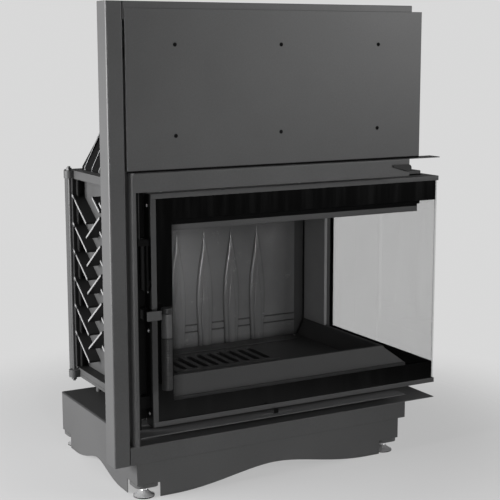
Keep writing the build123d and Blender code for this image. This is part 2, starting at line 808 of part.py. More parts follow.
def left_wall():
    """Left casting: a plate framed by flanges, with herringbone cooling fins outside."""
    low = wall_bottom + flange_band
    high = wall_top - flange_band
    room_back = back_wall_y
    room_front = body_front + flange_thickness
    wall = block(left_wall_x, left_wall_x + cast_wall, body_front, body_back, wall_bottom, wall_top)
    wall = wall + block(body_left, left_wall_x, body_front, room_back, high, wall_top)
    wall = wall + block(body_left, left_wall_x, body_front, room_back, wall_bottom, low)
    wall = wall + block(body_left, left_wall_x, body_front, room_front, low, high)
    wall = wall + block(rear_strip_left, left_wall_x, room_back, room_back + cast_wall, wall_bottom, wall_top)
    wall = wall + block(rear_strip_left, rear_strip_left + cast_wall, room_back, body_back, wall_bottom, wall_top)
    wall = wall + block(strip_bead_x, strip_bead_x + strip_bead_width, room_back - strip_bead_depth, room_back, low, high)

    slope = math.tan(math.radians(fin_slope_deg))
    rise = fin_column_pitch * slope
    fins = None
    for column in range(fin_columns):
        y_back = room_back - column * fin_column_pitch
        y_front = y_back - fin_column_pitch
        falls = column % 2 == 0
        starts = []
        for row in range(fin_rows if falls else fin_rows - 1):
            z_middle = fin_first_z + row * fin_pitch + (0.0 if falls else fin_pitch / 2)
            starts.append((y_back, z_middle + rise / 2 if falls else z_middle - rise / 2, -slope if falls else slope))
        if not falls:
            starts.append(((y_back + y_front) / 2, fin_stub_z, -slope))
        for y_start, z_start, climb in starts:
            z_end = z_start + climb * (y_start - y_front)
            outline = [(y_start, z_start), (y_front, z_end), (y_front, z_end + fin_thickness),
                       (y_start, z_start + fin_thickness)]
            fin = prism_x(outline, body_left, left_wall_x + 1)
            fins = fin if fins is None else fins + fin
    frame_room = block(body_left, left_wall_x, room_front, room_back, low, high)
    return wall + (fins & frame_room)


def lancet(x, low, tip, half_width, y0, y1):
    """Pointed flute outline, two arcs that meet in a point at both ends, carried along Y."""
    widest = low + (tip - low) * 0.42
    left = ThreePointArc((x, y0, low), (x - half_width, y0, widest), (x, y0, tip))
    right = ThreePointArc((x, y0, tip), (x + half_width, y0, widest), (x, y0, low))
    face = Face(Wire([*left.edges(), *right.edges()]))
    return extrude(face, y1 - y0, dir=(0, 1, 0))


def make_hearth():
    """Hearth bed, grate, retainers, ash pan, liners and deflector."""
    bed_back = back_liner_face + liner_thickness
    bed = block(hearth_left, hearth_right, hearth_front, bed_back, wall_bottom, hearth_top)
    under = hearth_top - hearth_plate
    bed = bed - block(hearth_left + hearth_wall, hearth_right - hearth_wall, hearth_front + hearth_wall,
                      bed_back - hearth_wall, wall_bottom, under)
    grate_right = grate_left + grate_width
    grate_back = grate_front + grate_depth
    bed = bed - block(grate_left, grate_right, grate_front, grate_back, under + grate_thickness / 2, hearth_top)
    bed = bed - block(grate_left + grate_ledge, grate_right - grate_ledge, grate_front + grate_ledge,
                      grate_back - grate_ledge, under, hearth_top)
    pieces["hearth_bed"] = bed

    gap = grate_gap
    seat = under + grate_thickness / 2
    grate = block(grate_left + gap, grate_right - gap, grate_front + gap, grate_back - gap, seat, seat + grate_thickness)
    slot_room = grate_width - 2 * grate_slot_margin
    slot_pitch = slot_room / grate_slots
    for index in range(grate_slots):
        x = grate_left + grate_slot_margin + (index + 0.5) * slot_pitch
        slot = Pos(x, grate_front + grate_depth / 2, seat) * extrude(
            SlotOverall(grate_depth - 2 * grate_slot_margin, grate_slot_width, rotation=90), grate_thickness)
        grate = grate - slot
    pieces["grate"] = grate

    pieces["log_retainer"] = group(front_retainer(), side_retainer())

    pan_top = wall_bottom + ash_pan_depth
    pan = block(grate_left + ash_pan_margin, grate_right - ash_pan_margin, grate_front + ash_pan_margin,
                grate_back - ash_pan_margin, wall_bottom, pan_top)
    wall = ash_pan_margin + ash_pan_wall
    pan = pan - block(grate_left + wall, grate_right - wall, grate_front + wall, grate_back - wall,
                      wall_bottom + ash_pan_wall, pan_top)
    pieces["ash_pan"] = pan

    liner = block(left_liner_face, right_wall_x - liner_gap, back_liner_face, bed_back, hearth_top, liner_top)
    for index in range(flute_count):
        x = flute_first_x + index * flute_pitch
        outer = lancet(x, flute_bottom, flute_tip, flute_half_width, back_liner_face, back_liner_face + flute_depth)
        bead_tip = flute_bottom + (flute_tip - flute_bottom) * 0.7
        bead = lancet(x, flute_bottom + 6, bead_tip, flute_half_width * flute_bead_scale, back_liner_face + 1,
                      back_liner_face + flute_depth)
        liner = liner - (outer - bead)
        for z in groove_pair_z:
            middle = x + flute_pitch / 2 + 4
            liner = liner - block(middle - groove_width / 2, middle + groove_width / 2, back_liner_face,
                                  back_liner_face + groove_depth, z - groove_height / 2, z + groove_height / 2)
    pieces["back_liner"] = liner

    left = block(left_liner_face, left_liner_face + liner_thickness, hearth_front, back_liner_face,
                 hearth_top, liner_top)
    right_face = right_wall_x - liner_gap - right_liner_thickness
    right = block(right_face, right_wall_x - liner_gap, right_wall_front, back_liner_face,
                  side_retainer_top, liner_top)
    pieces["side_liners"] = group(left, right)

    deflector = block(left_liner_face, right_wall_x - liner_gap, deflector_front, bed_back,
                      liner_top, liner_top + deflector_thickness)
    pieces["deflector_plate"] = deflector


def front_retainer():
    """Cast bar in front of the logs: sloped face, flat foot, slanted right end."""
    foot_back = hearth_front
    outline = [
        (retainer_front - 6, wall_bottom),
        (retainer_front - 6, retainer_foot_height),
        (retainer_front, retainer_foot_height),
        (retainer_front + retainer_lean, retainer_top),
        (retainer_back, retainer_top),
        (foot_back, hearth_top + 6),
        (foot_back, wall_bottom),
    ]
    bar = prism_x(outline, retainer_left, retainer_right_foot)
    slant = [
        (retainer_right_foot, retainer_foot_height),
        (retainer_right_top, retainer_top),
        (retainer_right_top, retainer_top + 10),
        (retainer_right_foot + 10, retainer_top + 10),
        (retainer_right_foot + 10, retainer_foot_height),
    ]
    return bar - prism_y(slant, 0, foot_back + 10)


def side_retainer():
    """Cast bar on the right of the hearth, sloped on its inner side."""
    outer_x = right_wall_x
    inner_top = outer_x - side_retainer_thickness
    inner_foot = inner_top - side_retainer_slope
    outline = [
        (inner_foot, hearth_top),
        (inner_top, side_retainer_top),
        (outer_x, side_retainer_top),
        (outer_x, wall_bottom),
        (hearth_right, wall_bottom),
        (hearth_right, hearth_top),
    ]
    return prism_y(outline, hearth_front, back_liner_face) - block(
        outer_x - liner_gap, outer_x + 1, right_wall_front - liner_gap, back_liner_face, wall_bottom, side_retainer_top)


def hood_form(margin, z0, z1):
    """Hood body this far inside its outer faces: steep at the back, sloping on the other sides."""
    low_left = hood_left + margin
    low_right = hood_right - margin
    low_front = hood_front + margin
    low_back = hood_back - margin
    low = Pos((low_left + low_right) / 2, (low_front + low_back) / 2, z0) * Rectangle(
        low_right - low_left, low_back - low_front)
    high_front = low_front + hood_front_run
    high_back = low_back - hood_back_run
    high = Pos((low_left + low_right) / 2, (high_front + high_back) / 2, z1) * Rectangle(
        low_right - low_left - 2 * hood_side_run, high_back - high_front)
    return loft([low.faces()[0], high.faces()[0]])


def make_hood():
    """Smoke hood with ribs on its sloping sides, and the flue collar."""
    base = body_top + hood_flange_height
    height = hood_top - base
    shell = hood_form(0, base, hood_top) + block(hood_left, hood_right, hood_front, hood_back, body_top, base)
    hollow = hood_form(hood_wall, base, hood_top - hood_wall)
    throat = hood_throat_margin
    hollow = hollow + block(hood_left + throat, hood_right - throat, hood_front + throat, hood_back - throat,
                            body_top, base)
    stretch = hood_rib_height / math.sin(math.atan2(height, hood_side_run))
    root = hood_wall / 2
    ribs = None
    for index in range(hood_rib_count):
        y = hood_back - hood_rib_inset - index * hood_rib_pitch
        share = min(1.0, (y - hood_front) / hood_front_run, (hood_back - y) / hood_back_run)
        for side, foot_x in ((-1, hood_left), (1, hood_right)):
            end_x = foot_x - side * share * hood_side_run
            outline = [(foot_x, base), (end_x + side * stretch, base + share * height),
                       (end_x - side * root, base + share * height), (foot_x - side * root, base)]
            rib = prism_y(outline, y - hood_rib_thickness / 2, y + hood_rib_thickness / 2)
            ribs = rib if ribs is None else ribs + rib
    hood = (shell + ribs) - hollow
    bore = collar_radius - collar_wall
    hood = hood - rod_z(hood_middle_x, hood_middle_y, hood_top - 2 * hood_wall, hood_top + 1, bore)
    pieces["smoke_hood"] = hood

    collar = rod_z(hood_middle_x, hood_middle_y, hood_top, hood_top + collar_height, collar_radius)
    collar = collar - rod_z(hood_middle_x, hood_middle_y, hood_top, hood_top + collar_height, bore)
    pieces["flue_collar"] = collar


def make_air():
    """Air inlet spigot under the base, and the air slide with its tab."""
    top = base_top - base_plate
    spigot = rod_z(spigot_x, spigot_y, top - spigot_length, top, spigot_radius)
    spigot = spigot - rod_z(spigot_x, spigot_y, top - spigot_length, top, spigot_radius - spigot_wall)
    pieces["air_inlet_spigot"] = spigot

    fold_face = body_front - 1 - portal_sheet
    thickness = portal_sheet
    back = fold_face - seal_gap
    front = back - thickness
    low = flange_plate_top + seal_gap
    high = sill_top - portal_sheet - 1
    half = air_plate_length / 2
    slide = block(air_tab_x - half, air_tab_x + half, front, back, low, high)
    pitch = air_plate_length / air_windows
    middle = (flange_plate_top + sill_top - portal_sheet) / 2
    for index in range(air_windows):
        x = air_tab_x - half + (index + 0.5) * pitch
        slide = slide - block(x - air_window_width / 2, x + air_window_width / 2, front, back,
                              middle - air_window_height / 2, middle + air_window_height / 2)
    arm_low = high - 3 * thickness
    tab_half = air_tab_width / 2
    slide = slide + block(air_tab_x - tab_half, air_tab_x + tab_half, air_tab_y, front, arm_low, arm_low + thickness)
    slide = slide + block(air_tab_x - tab_half, air_tab_x + tab_half, air_tab_y, air_tab_y + thickness,
                          arm_low, air_tab_top)
    pieces["air_slide"] = slide


def door_rail(web_low, web_high, lip_low, lip_high):
    """L-shaped folded rail: a web, a front lip, a lip behind the glass and a rear lip."""
    start = door_sheet
    end = door_side_depth - door_sheet
    web = corner_band((0, door_frame_depth), (0, door_side_frame), web_low, web_high, start, end)
    face = span(0, door_sheet)
    behind_glass = span(door_sheet + glass_thickness + 2 * glass_seat_gap, door_sheet)
    rear_lip = corner_band(span(door_frame_depth - door_sheet, door_sheet),
                           span(door_side_frame - door_sheet, door_sheet), lip_low, lip_high, start, end)
    rail = web + corner_band(face, face, lip_low, lip_high, start, end)
    return rail + corner_band(behind_glass, behind_glass, lip_low, lip_high, start, end) + rear_lip


def make_door():
    """Rails, stiles, glass, rope seal, handle and carriages of the lift door."""
    sheet = door_sheet
    pieces["door_bottom_rail"] = door_rail(0, sheet, sheet, rail_face)
    pieces["door_top_rail"] = door_rail(door_height - sheet, door_height, door_height - rail_face, door_height - sheet)

    low = rail_face
    high = door_height - rail_face
    behind_glass = sheet + glass_thickness + 2 * glass_seat_gap
    stile = block(0, sheet, 0, door_frame_depth, 0, door_height)
    stile = stile + block(sheet, stile_face, 0, sheet, low, high)
    stile = stile + block(sheet, stile_face, behind_glass, behind_glass + sheet, low, high)
    stile = stile + block(sheet, left_stile_rear_lip, door_frame_depth - sheet, door_frame_depth, low, high)
    pieces["door_left_stile"] = stile

    inner_x = door_width - door_side_frame
    end = door_side_depth
    rear = block(inner_x, door_width, end - sheet, end, 0, door_height)
    rear = rear + block(door_width - sheet, door_width, end - stile_face, end - sheet, low, high)
    rear = rear + block(door_width - behind_glass - sheet, door_width - behind_glass, end - stile_face,
                        end - sheet, low, high)
    rear = rear + block(inner_x, inner_x + sheet, end - stile_face, end - sheet, low, high)
    pieces["door_rear_stile"] = rear

    seat = sheet + glass_seat_gap
    glass_low = seat
    glass_high = door_height - seat
    side_x = door_width - seat
    pieces["front_glass"] = block(seat, side_x - glass_thickness - glass_seat_gap, seat, seat + glass_thickness,
                                  glass_low, glass_high)
    pieces["side_glass"] = block(side_x - glass_thickness, side_x, seat, end - seat, glass_low, glass_high)

    seal_depth = door_to_body - seal_gap
    seal_left = left_stile_rear_lip - seal_width - 1
    seal_end = end - stile_face + seal_width / 2
    front = span(door_frame_depth, seal_depth)
    side = span(door_side_frame, seal_depth)
    low = sheet
    high = door_height - sheet
    seal = corner_band(front, side, high - seal_width, high, seal_left, seal_end)
    seal = seal + corner_band(front, side, low, low + seal_width, seal_left, seal_end)
    seal = seal + block(seal_left, seal_left + seal_width, front[0], front[1], low + seal_width, high - seal_width)
    seal = seal + block(inner_x - seal_depth, inner_x, seal_end - seal_width, seal_end, low + seal_width,
                        high - seal_width)
    pieces["door_seal"] = seal

    screws = []
    middle_y = door_frame_depth / 2
    for z in (*door_side_screws, door_height - door_screw_top_inset):
        screws.append(rod_x(-door_screw_head, 0, middle_y, z, door_screw_radius))
    for x in door_top_screws:
        screws.append(rod_z(x, door_frame_depth - 6, door_height, door_height + door_screw_head, door_screw_radius))
    pieces["door_screws"] = group(*screws)

    make_handle()
    make_carriages()


def make_handle():
    """Round handle bar with two turned grooves, and its bent bracket."""
    bar = rod_z(handle_x, handle_y, handle_bottom, handle_top, handle_radius)
    ends = bar.edges().filter_by(GeomType.CIRCLE)
    bar = chamfer(ends, handle_edge)
    for z in (handle_sleeve_bottom, handle_sleeve_top):
        ring = rod_z(handle_x, handle_y, z - handle_groove, z + handle_groove, handle_radius + 1)
        ring = ring - rod_z(handle_x, handle_y, z - handle_groove, z + handle_groove, handle_radius - handle_groove)
        bar = bar - ring
    pieces["handle_bar"] = bar

    low = bracket_bottom
    high = low + bracket_height
    half = bracket_thickness / 2
    arm = block(-bracket_reach, handle_x, handle_y - half, handle_y + half, low, high)
    arm = arm - rod_z(handle_x, handle_y, low, high, handle_radius)
    side = block(-bracket_reach, -bracket_reach + 4, handle_y - half, door_frame_depth - 12,
                 low - bracket_drop, high)
    foot = block(-bracket_reach, 0, 8, door_frame_depth - 12, low, high)
    pieces["handle_bracket"] = arm + side + foot


def make_carriages():
    """Plates with a roller pin and guide shoes, on the left and the rear right stile."""
    shoe_half = channel_inner / 2 - roller_gap
    shoe_reach = channel_depth - channel_wall - 1
    left_inner = left_channel_x + channel_wall + 1
    plate_x = left_carriage_x
    inset = carriage_arm_inset
    half_clamp = cable_clamp / 2
    clamp_low = carriage_top - cable_clamp
    plate = block(plate_x, plate_x + carriage_plate, left_cable_y - half_clamp, left_roller_y + shoe_half - inset / 2,
                  carriage_bottom, carriage_top)
    for z in (carriage_bottom + inset, carriage_top - inset - carriage_arm_height):
        plate = plate + block(plate_x + carriage_plate, 0, inset, inset + carriage_arm_depth, z, z + carriage_arm_height)
    plate = plate + block(left_cable_x - half_clamp, plate_x, left_cable_y - half_clamp, left_cable_y + half_clamp,
                          clamp_low, carriage_top)
    plate = plate + rod_x(left_inner, plate_x, left_roller_y, roller_z, pin_radius)
    plate = plate + block(left_inner, plate_x, left_roller_y - shoe_half, left_roller_y + shoe_half,
                          carriage_bottom + inset, carriage_bottom + inset + shoe_height)
    lower_left = block(left_inner, 0, left_roller_y - shoe_half, left_roller_y + shoe_half, lower_shoe_z,
                       lower_shoe_z + shoe_height)

    back = door_side_depth
    plate_back = back + carriage_plate
    reach = post_front - channel_wall - 1
    right = block(right_cable_x - half_clamp, post_right, back, plate_back, carriage_bottom, carriage_top)
    right = right + rod_y(right_roller_x, plate_back, reach, roller_z, pin_radius)
    right = right + block(right_roller_x - shoe_half, right_roller_x + shoe_half, plate_back, reach,
                          carriage_bottom + inset, carriage_bottom + inset + shoe_height)
    lower_right = block(right_roller_x - shoe_half, right_roller_x + shoe_half, back, reach, lower_shoe_z,
                        lower_shoe_z + shoe_height)
    pieces["roller_carriages"] = group(plate, lower_left, right, lower_right)

    bore = pin_radius + running_gap
    left = rod_x(left_inner + 1, left_inner + 1 + roller_width, left_roller_y, roller_z, roller_radius)
    pieces["left_roller"] = left - rod_x(left_inner, 0, left_roller_y, roller_z, bore)
    right = rod_y(right_roller_x, reach - 1 - roller_width, reach - 1, roller_z, roller_radius)
    pieces["right_roller"] = right - rod_y(right_roller_x, back, post_front, roller_z, bore)


def sheave(radius):
    """Grooved cable sheave about the Z axis, centred on the origin."""
    half = sheave_width / 2
    rim = radius + cable_radius + sheave_rim
    floor = radius - cable_radius - cable_seat_gap
    groove = cable_radius + cable_seat_gap
    bore = axle_radius + running_gap
    outline = [(bore, -half), (rim, -half), (rim, -groove - sheave_lip), (floor, -groove + sheave_lip / 2),
               (floor, groove - sheave_lip / 2), (rim, groove + sheave_lip), (rim, half), (bore, half)]
    return revolve(make_face(Polyline(*[(r, 0, z) for r, z in outline], close=True)), Axis.Z)


def half_bend(radius):
    """Cable turned half round the Z axis on the +Y side, at the sheave's pitch radius."""
    section = Plane.XZ * Pos(radius, 0, 0) * RegularPolygon(cable_radius, cable_sides)
    return revolve(section, Axis.Z, revolution_arc=180)


def make_lift_gear():
    """Channels, sheaves on their hangers, cables and counterweights."""
    outer = channel_inner + 2 * channel_wall
    left = block(left_channel_x, left_channel_x + channel_depth, left_channel_y, left_channel_y + outer,
                 sill_top, beam_bottom)
    left = left - block(left_channel_x + channel_wall, 0, left_channel_y + channel_wall,
                        left_channel_y + channel_wall + channel_inner, sill_top, beam_bottom)
    beam_back = portal_front + beam_size
    left_tab = block(left_channel_x, left_channel_x + channel_depth, beam_back, left_channel_y + outer,
                     beam_bottom, beam_bottom + 2 * channel_wall)
    front = post_front - channel_depth
    right = block(right_channel_x, right_channel_x + outer, front, post_front, flange_plate_top, channel_top_right)
    right = right - block(right_channel_x + channel_wall, right_channel_x + channel_wall + channel_inner, front,
                          post_front - channel_wall, flange_plate_top, channel_top_right)
    pieces["guide_rails"] = group(left + left_tab, right)

    left_turn = Pos(left_sheave_x, left_cable_y, sheave_z) * Rot(90, 0, 0)
    right_turn = Pos(right_cable_x, right_sheave_y, sheave_z) * Rot(0, 0, 90) * Rot(90, 0, 0)
    pieces["left_sheave"] = left_turn * sheave(left_sheave_radius)
    pieces["right_sheave"] = right_turn * sheave(right_sheave_radius)
    left_bend = left_turn * half_bend(left_sheave_radius)
    right_bend = right_turn * half_bend(right_sheave_radius)
    pieces["sheave_cable_bends"] = group(left_bend, right_bend)

    near = sheave_width / 2 + hanger_gap
    half = hanger_width / 2
    low = beam_bottom - hanger_height
    hangers = []
    for side in (-1, 1):
        y0 = left_cable_y + side * near
        y1 = y0 + side * hanger_plate
        plate = block(left_sheave_x - half, left_sheave_x + half, min(y0, y1), max(y0, y1), low, beam_bottom)
        hangers.append(plate - rod_y(left_sheave_x, -far, far, sheave_z, axle_radius))
        x0 = right_cable_x + side * near
        x1 = x0 + side * hanger_plate
        plate = block(min(x0, x1), max(x0, x1), right_sheave_y - half, right_sheave_y + half, low, beam_bottom)
        hangers.append(plate - rod_x(0, far, right_sheave_y, sheave_z, axle_radius))
    axle_half = near + hanger_plate + 2
    hangers.append(rod_y(left_sheave_x, left_cable_y - axle_half, left_cable_y + axle_half, sheave_z, axle_radius))
    hangers.append(rod_x(right_cable_x - axle_half, right_cable_x + axle_half, right_sheave_y, sheave_z, axle_radius))
    pieces["sheave_hangers"] = group(*hangers)

    left_cable = rod_z(left_cable_x, left_cable_y, carriage_top, sheave_z, cable_radius)
    right_cable = rod_z(right_cable_x, right_cable_y, carriage_top, sheave_z, cable_radius)
    pieces["door_side_cables"] = group(left_cable, right_cable)
    left_cable = rod_z(left_weight_x, left_cable_y, weight_rest_top, sheave_z, cable_radius)
    right_cable = rod_z(right_cable_x, right_weight_cable_y, weight_rest_top, sheave_z, cable_radius)
    pieces["weight_side_cables"] = group(left_cable, right_cable)

    inset = column_wall + weight_gap
    left_weight = block(column_left + inset, column_right - inset, portal_front + inset, column_back - inset,
                        weight_rest_top - left_weight_height, weight_rest_top)
    inset = post_wall + weight_gap
    right_weight = block(post_left + inset, post_right - inset, right_weight_cable_y - right_weight_depth / 2,
                         right_weight_cable_y + right_weight_depth / 2, weight_rest_top - right_weight_height,
                         weight_rest_top)
    pieces["counterweights"] = group(left_weight, right_weight)


def build():
    """Make every piece, and return the shift from the modelling origin to the floor's middle."""
    make_base()
    make_feet()
    make_front()
    make_frame()
    make_firebox()
    make_hearth()
    make_hood()
    make_air()
    make_door()
    make_lift_gear()
    boxes = [piece.bounding_box() for piece in pieces.values()]
    low = [min(getattr(box.min, axis) for box in boxes) for axis in "XYZ"]
    high = [max(getattr(box.max, axis) for box in boxes) for axis in "XYZ"]
    return (-(low[0] + high[0]) / 2, -(low[1] + high[1]) / 2, -low[2])


def main():
    """Build the insert and write one file for each node."""
    shift = build()
    os.makedirs("parts", exist_ok=True)
    for name, piece in pieces.items():
        export_step(group(Pos(*shift) * piece), f"parts/{name}.step")
    print("shift", [round(value, 3) for value in shift], "nodes", len(pieces))


main()
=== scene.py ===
"""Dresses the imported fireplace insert: stove paint, castings, printed glass, chrome feet and the studio.

Every length is in metres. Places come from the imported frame, and the sizes that a piece adds to it are fields
of its own class. Where a finish changes along its piece, that place is a field of the finish.
"""
import logging
import math
from dataclasses import dataclass
from enum import Enum

import bmesh
import bpy
import numpy as np
from mathutils import Matrix, Vector


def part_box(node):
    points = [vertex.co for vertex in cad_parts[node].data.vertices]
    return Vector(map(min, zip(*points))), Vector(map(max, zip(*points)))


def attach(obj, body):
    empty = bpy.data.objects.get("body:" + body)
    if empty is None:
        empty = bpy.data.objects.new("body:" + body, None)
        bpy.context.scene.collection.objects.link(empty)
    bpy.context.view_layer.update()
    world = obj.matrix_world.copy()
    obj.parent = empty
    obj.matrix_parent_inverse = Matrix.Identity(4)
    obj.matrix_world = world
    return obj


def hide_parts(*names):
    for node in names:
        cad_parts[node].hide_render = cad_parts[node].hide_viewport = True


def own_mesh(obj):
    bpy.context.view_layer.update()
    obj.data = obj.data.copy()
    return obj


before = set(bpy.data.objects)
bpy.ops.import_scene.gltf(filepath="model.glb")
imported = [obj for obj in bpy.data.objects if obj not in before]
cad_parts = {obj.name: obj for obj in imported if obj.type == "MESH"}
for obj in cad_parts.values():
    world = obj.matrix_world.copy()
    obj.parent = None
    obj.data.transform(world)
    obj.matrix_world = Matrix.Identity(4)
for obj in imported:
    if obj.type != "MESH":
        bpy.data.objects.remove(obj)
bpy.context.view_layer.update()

MM = 0.001
FULL_TURN = 2 * math.pi
MIX_MASK, MIX_FIRST, MIX_SECOND, MIX_COLOUR = 0, 6, 7, 2  # sockets of a Mix node for colours
BLUE_LEAN = 1.01  # a grey's blue over its red and green
NOISE_ROUGHNESS = 0.55
CREVICE_SAMPLES = 6
DOUBLE_REACH = 2e-6  # points of a new piece within this are one
THINNEST_EDGE = 1e-7
CAD_DOUBLE_REACH = 2e-5  # the same for the loose triangles of a CAD node
FLAT_ANGLE = math.radians(0.6)
SHARP_ANGLE = math.radians(30)
log = logging.getLogger("insert")

Pair = tuple[float, float]
Triple = tuple[float, float, float]
Colour = tuple[float, float, float, float]


class Slot(Enum):
    """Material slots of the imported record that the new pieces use."""

    PAINT = "satin_paint"
    CAST_PAINT = "cast_paint"
    LINER = "liner_board"
    BRIGHT = "bright_steel"
    CHROME = "foot_chrome"
    GLASS = "clear_glass"
    ROPE = "rope_seal"
    WIRE = "wire_rope"
    RUBBER = "black_rubber"


class Axis(Enum):
    """Direction that a turned piece stands along, as the columns of its turning matrix."""

    UP = ((1, 0, 0), (0, 1, 0), (0, 0, 1))
    FRONT = ((1, 0, 0), (0, 0, -1), (0, 1, 0))
    LEFT = ((0, 0, -1), (0, 1, 0), (1, 0, 0))

    def turn(self, points: np.ndarray) -> np.ndarray:
        """Points of a piece made along Z, turned so that Z lies along this direction."""
        return points @ np.array(self.value, float).T


# Shader maths


def neutral(level: float) -> Colour:
    """Even grey of one level."""
    return (level, level, level, 1)


class Signal:
    """A socket that takes part in Python expressions: each operator adds its own Math node."""

    def __init__(self, recipe: "Recipe", socket: bpy.types.NodeSocket) -> None:
        """Wraps one output socket of a recipe's tree."""
        self.recipe = recipe
        self.socket = socket

    def maths(self, operation: str, *values: "Signal | float") -> "Signal":
        """Result of one Math node on these values, in their order."""
        return self.recipe.add("ShaderNodeMath", dict(enumerate(values)), operation=operation)

    def __add__(self, other: "Signal | float") -> "Signal":
        """Sum, with the signal on either side."""
        return self.maths("ADD", self, other)

    def __sub__(self, other: "Signal | float") -> "Signal":
        """Difference."""
        return self.maths("SUBTRACT", self, other)

    def __rsub__(self, other: float) -> "Signal":
        """Difference from a number on the left."""
        return self.maths("SUBTRACT", other, self)

    def __mul__(self, other: "Signal | float") -> "Signal":
        """Product, with the signal on either side."""
        return self.maths("MULTIPLY", self, other)

    def __truediv__(self, other: "Signal | float") -> "Signal":
        """Quotient."""
        return self.maths("DIVIDE", self, other)

    def __pow__(self, other: "Signal | float") -> "Signal":
        """Power."""
        return self.maths("POWER", self, other)

    __radd__ = __add__
    __rmul__ = __mul__

    def size(self) -> "Signal":
        """Value without its sign."""
        return self.maths("ABSOLUTE", self)

    def step(self, low: float, high: float) -> "Signal":
        """Smooth rise from 0 at low to 1 at high."""
        values = {"Value": self, "From Min": low, "From Max": high}
        return self.recipe.add("ShaderNodeMapRange", values, interpolation_type="SMOOTHSTEP")


def swung(middle: float, widths: Pair, first: Signal, second: Signal) -> Signal:
    """Value that two signals between 0 and 1 swing evenly about a middle, each by its width."""
    return first * widths[0] + second * widths[1] + (middle - sum(widths) / 2)


class Recipe:
    """Node tree of one material, or of the world."""

    def __init__(self, owner: bpy.types.Material | bpy.types.World) -> None:
        """Starts an empty tree on its owner.

        Args:
            owner: the material or the world.
        """
        owner.use_nodes = True
        self.tree = owner.node_tree
        self.tree.nodes.clear()

    def add(self, kind: str, values: dict | None = None, output: int | str = 0, **settings) -> Signal:
        """Adds one node.

        Args:
            kind: Blender's type of the node.
            values: numbers or signals by the name or number of their socket.
            output: name or number of the output that is wanted.
            **settings: the node's own settings, made before its sockets are filled.

        Returns:
            The wanted output.
        """
        node = self.tree.nodes.new(kind)
        for name, value in settings.items():
            setattr(node, name, value)
        for key, value in (values or {}).items():
            if isinstance(value, Signal):
                self.tree.links.new(value.socket, node.inputs[key])
            else:
                node.inputs[key].default_value = value
        return Signal(self, node.outputs[output])

    def several(self, kind: str, outputs: tuple, values: dict | None = None) -> tuple[Signal, ...]:
        """Several outputs of one new node, by their names or numbers."""
        node = self.add(kind, values).socket.node
        return tuple(Signal(self, node.outputs[name]) for name in outputs)

    def show(self, shader: Signal, kind: str = "ShaderNodeOutputMaterial") -> None:
        """Sends a shader to the tree's output."""
        end = self.tree.nodes.new(kind)
        self.tree.links.new(shader.socket, end.inputs["Surface"])

    def place(self, stretch: Triple = (1, 1, 1)) -> Signal:
        """Object coordinates in metres, stretched by these factors."""
        point = self.add("ShaderNodeTexCoord", output="Object")
        return self.add("ShaderNodeMapping", {"Vector": point, "Scale": stretch})

    def axes(self, output: str = "Object") -> tuple[Signal, ...]:
        """Coordinates as three numbers, which on an object are metres."""
        point = self.add("ShaderNodeTexCoord", output=output)
        return self.several("ShaderNodeSeparateXYZ", (0, 1, 2), {"Vector": point})

    def cloud(self, grain: float, detail: float = 3, stretch: Triple = (1, 1, 1)) -> Signal:
        """Noise between 0 and 1.

        Args:
            grain: size of its lumps in metres.
            detail: octaves of finer noise.
            stretch: factors on the coordinates, low ones draw the lumps out along that axis.

        Returns:
            The noise.
        """
        values = {"Vector": self.place(stretch), "Scale": 1 / grain, "Detail": detail}
        return self.add("ShaderNodeTexNoise", {**values, "Roughness": NOISE_ROUGHNESS}, output="Fac")

    def cells(self, size: float) -> Signal:
        """Distance to the middle of the nearest cell of this size."""
        values = {"Vector": self.place(), "Scale": 1 / size}
        return self.add("ShaderNodeTexVoronoi", values, output="Distance")

    def grey(self, shade: float, spread: Pair, mask: Signal, share: Signal | None = None) -> Signal:
        """Neutral colour that varies about one level.

        Args:
            shade: the level.
            spread: factors on it where the mask is 0 and where the mask is 1.
            mask: what chooses between them.
            share: factor on the colour, or None.

        Returns:
            The colour.
        """
        levels = [shade * factor for factor in spread]
        colour = self.blend(*((level, level, level * BLUE_LEAN, 1) for level in levels), mask)
        return colour if share is None else self.blend(neutral(0), colour, share)

    def blend(self, first: Signal | Colour, second: Signal | Colour, mask: Signal) -> Signal:
        """First colour where the mask is 0 and second where it is 1."""
        values = {MIX_MASK: mask, MIX_FIRST: first, MIX_SECOND: second}
        return self.add("ShaderNodeMix", values, output=MIX_COLOUR, data_type="RGBA")

    def crevice_shade(self, reach: float, depth: float) -> Signal:
        """Factor of the shade painted into crevices, from the share of the view that is open within reach.

        Args:
            reach: how far a crevice's other side may be.
            depth: what a closed crevice takes away.

        Returns:
            1 in the open, 1 - depth where all is shut in.
        """
        values = {"Distance": reach}
        clear = self.add("ShaderNodeAmbientOcclusion", values, output="AO", samples=CREVICE_SAMPLES)
        return clear * depth + (1 - depth)

    def relief(self, height: Signal, depth: float, strength: float) -> Signal:
        """Normal of a surface raised by height times depth in metres."""
        values = {"Height": height, "Distance": depth, "Strength": strength}
        return self.add("ShaderNodeBump", values, output="Normal")

    def surface(self, **values) -> Signal:
        """Principled shader; underscores in the names stand for blanks."""
        named = {name.replace("_", " "): value for name, value in values.items()}
        return self.add("ShaderNodeBsdfPrincipled", named)


made_finishes: dict = {}


@dataclass(frozen=True)
class Finish:
    """A surface finish, made into a material once for each set of its sizes."""

    name: str

    def material(self) -> bpy.types.Material:
        """This finish's material, made at its first use.

        Returns:
            The material.
        """
        if self not in made_finishes:
            material = bpy.data.materials.new(self.name)
            recipe = Recipe(material)
            recipe.show(self.shader(recipe))
            made_finishes[self] = material
        return made_finishes[self]

    def shader(self, recipe: Recipe) -> Signal:
        """The finish's shader; each kind of finish has its own.

        Args:
            recipe: the material's tree.

        Returns:
            The shader.
        """
        raise NotImplementedError


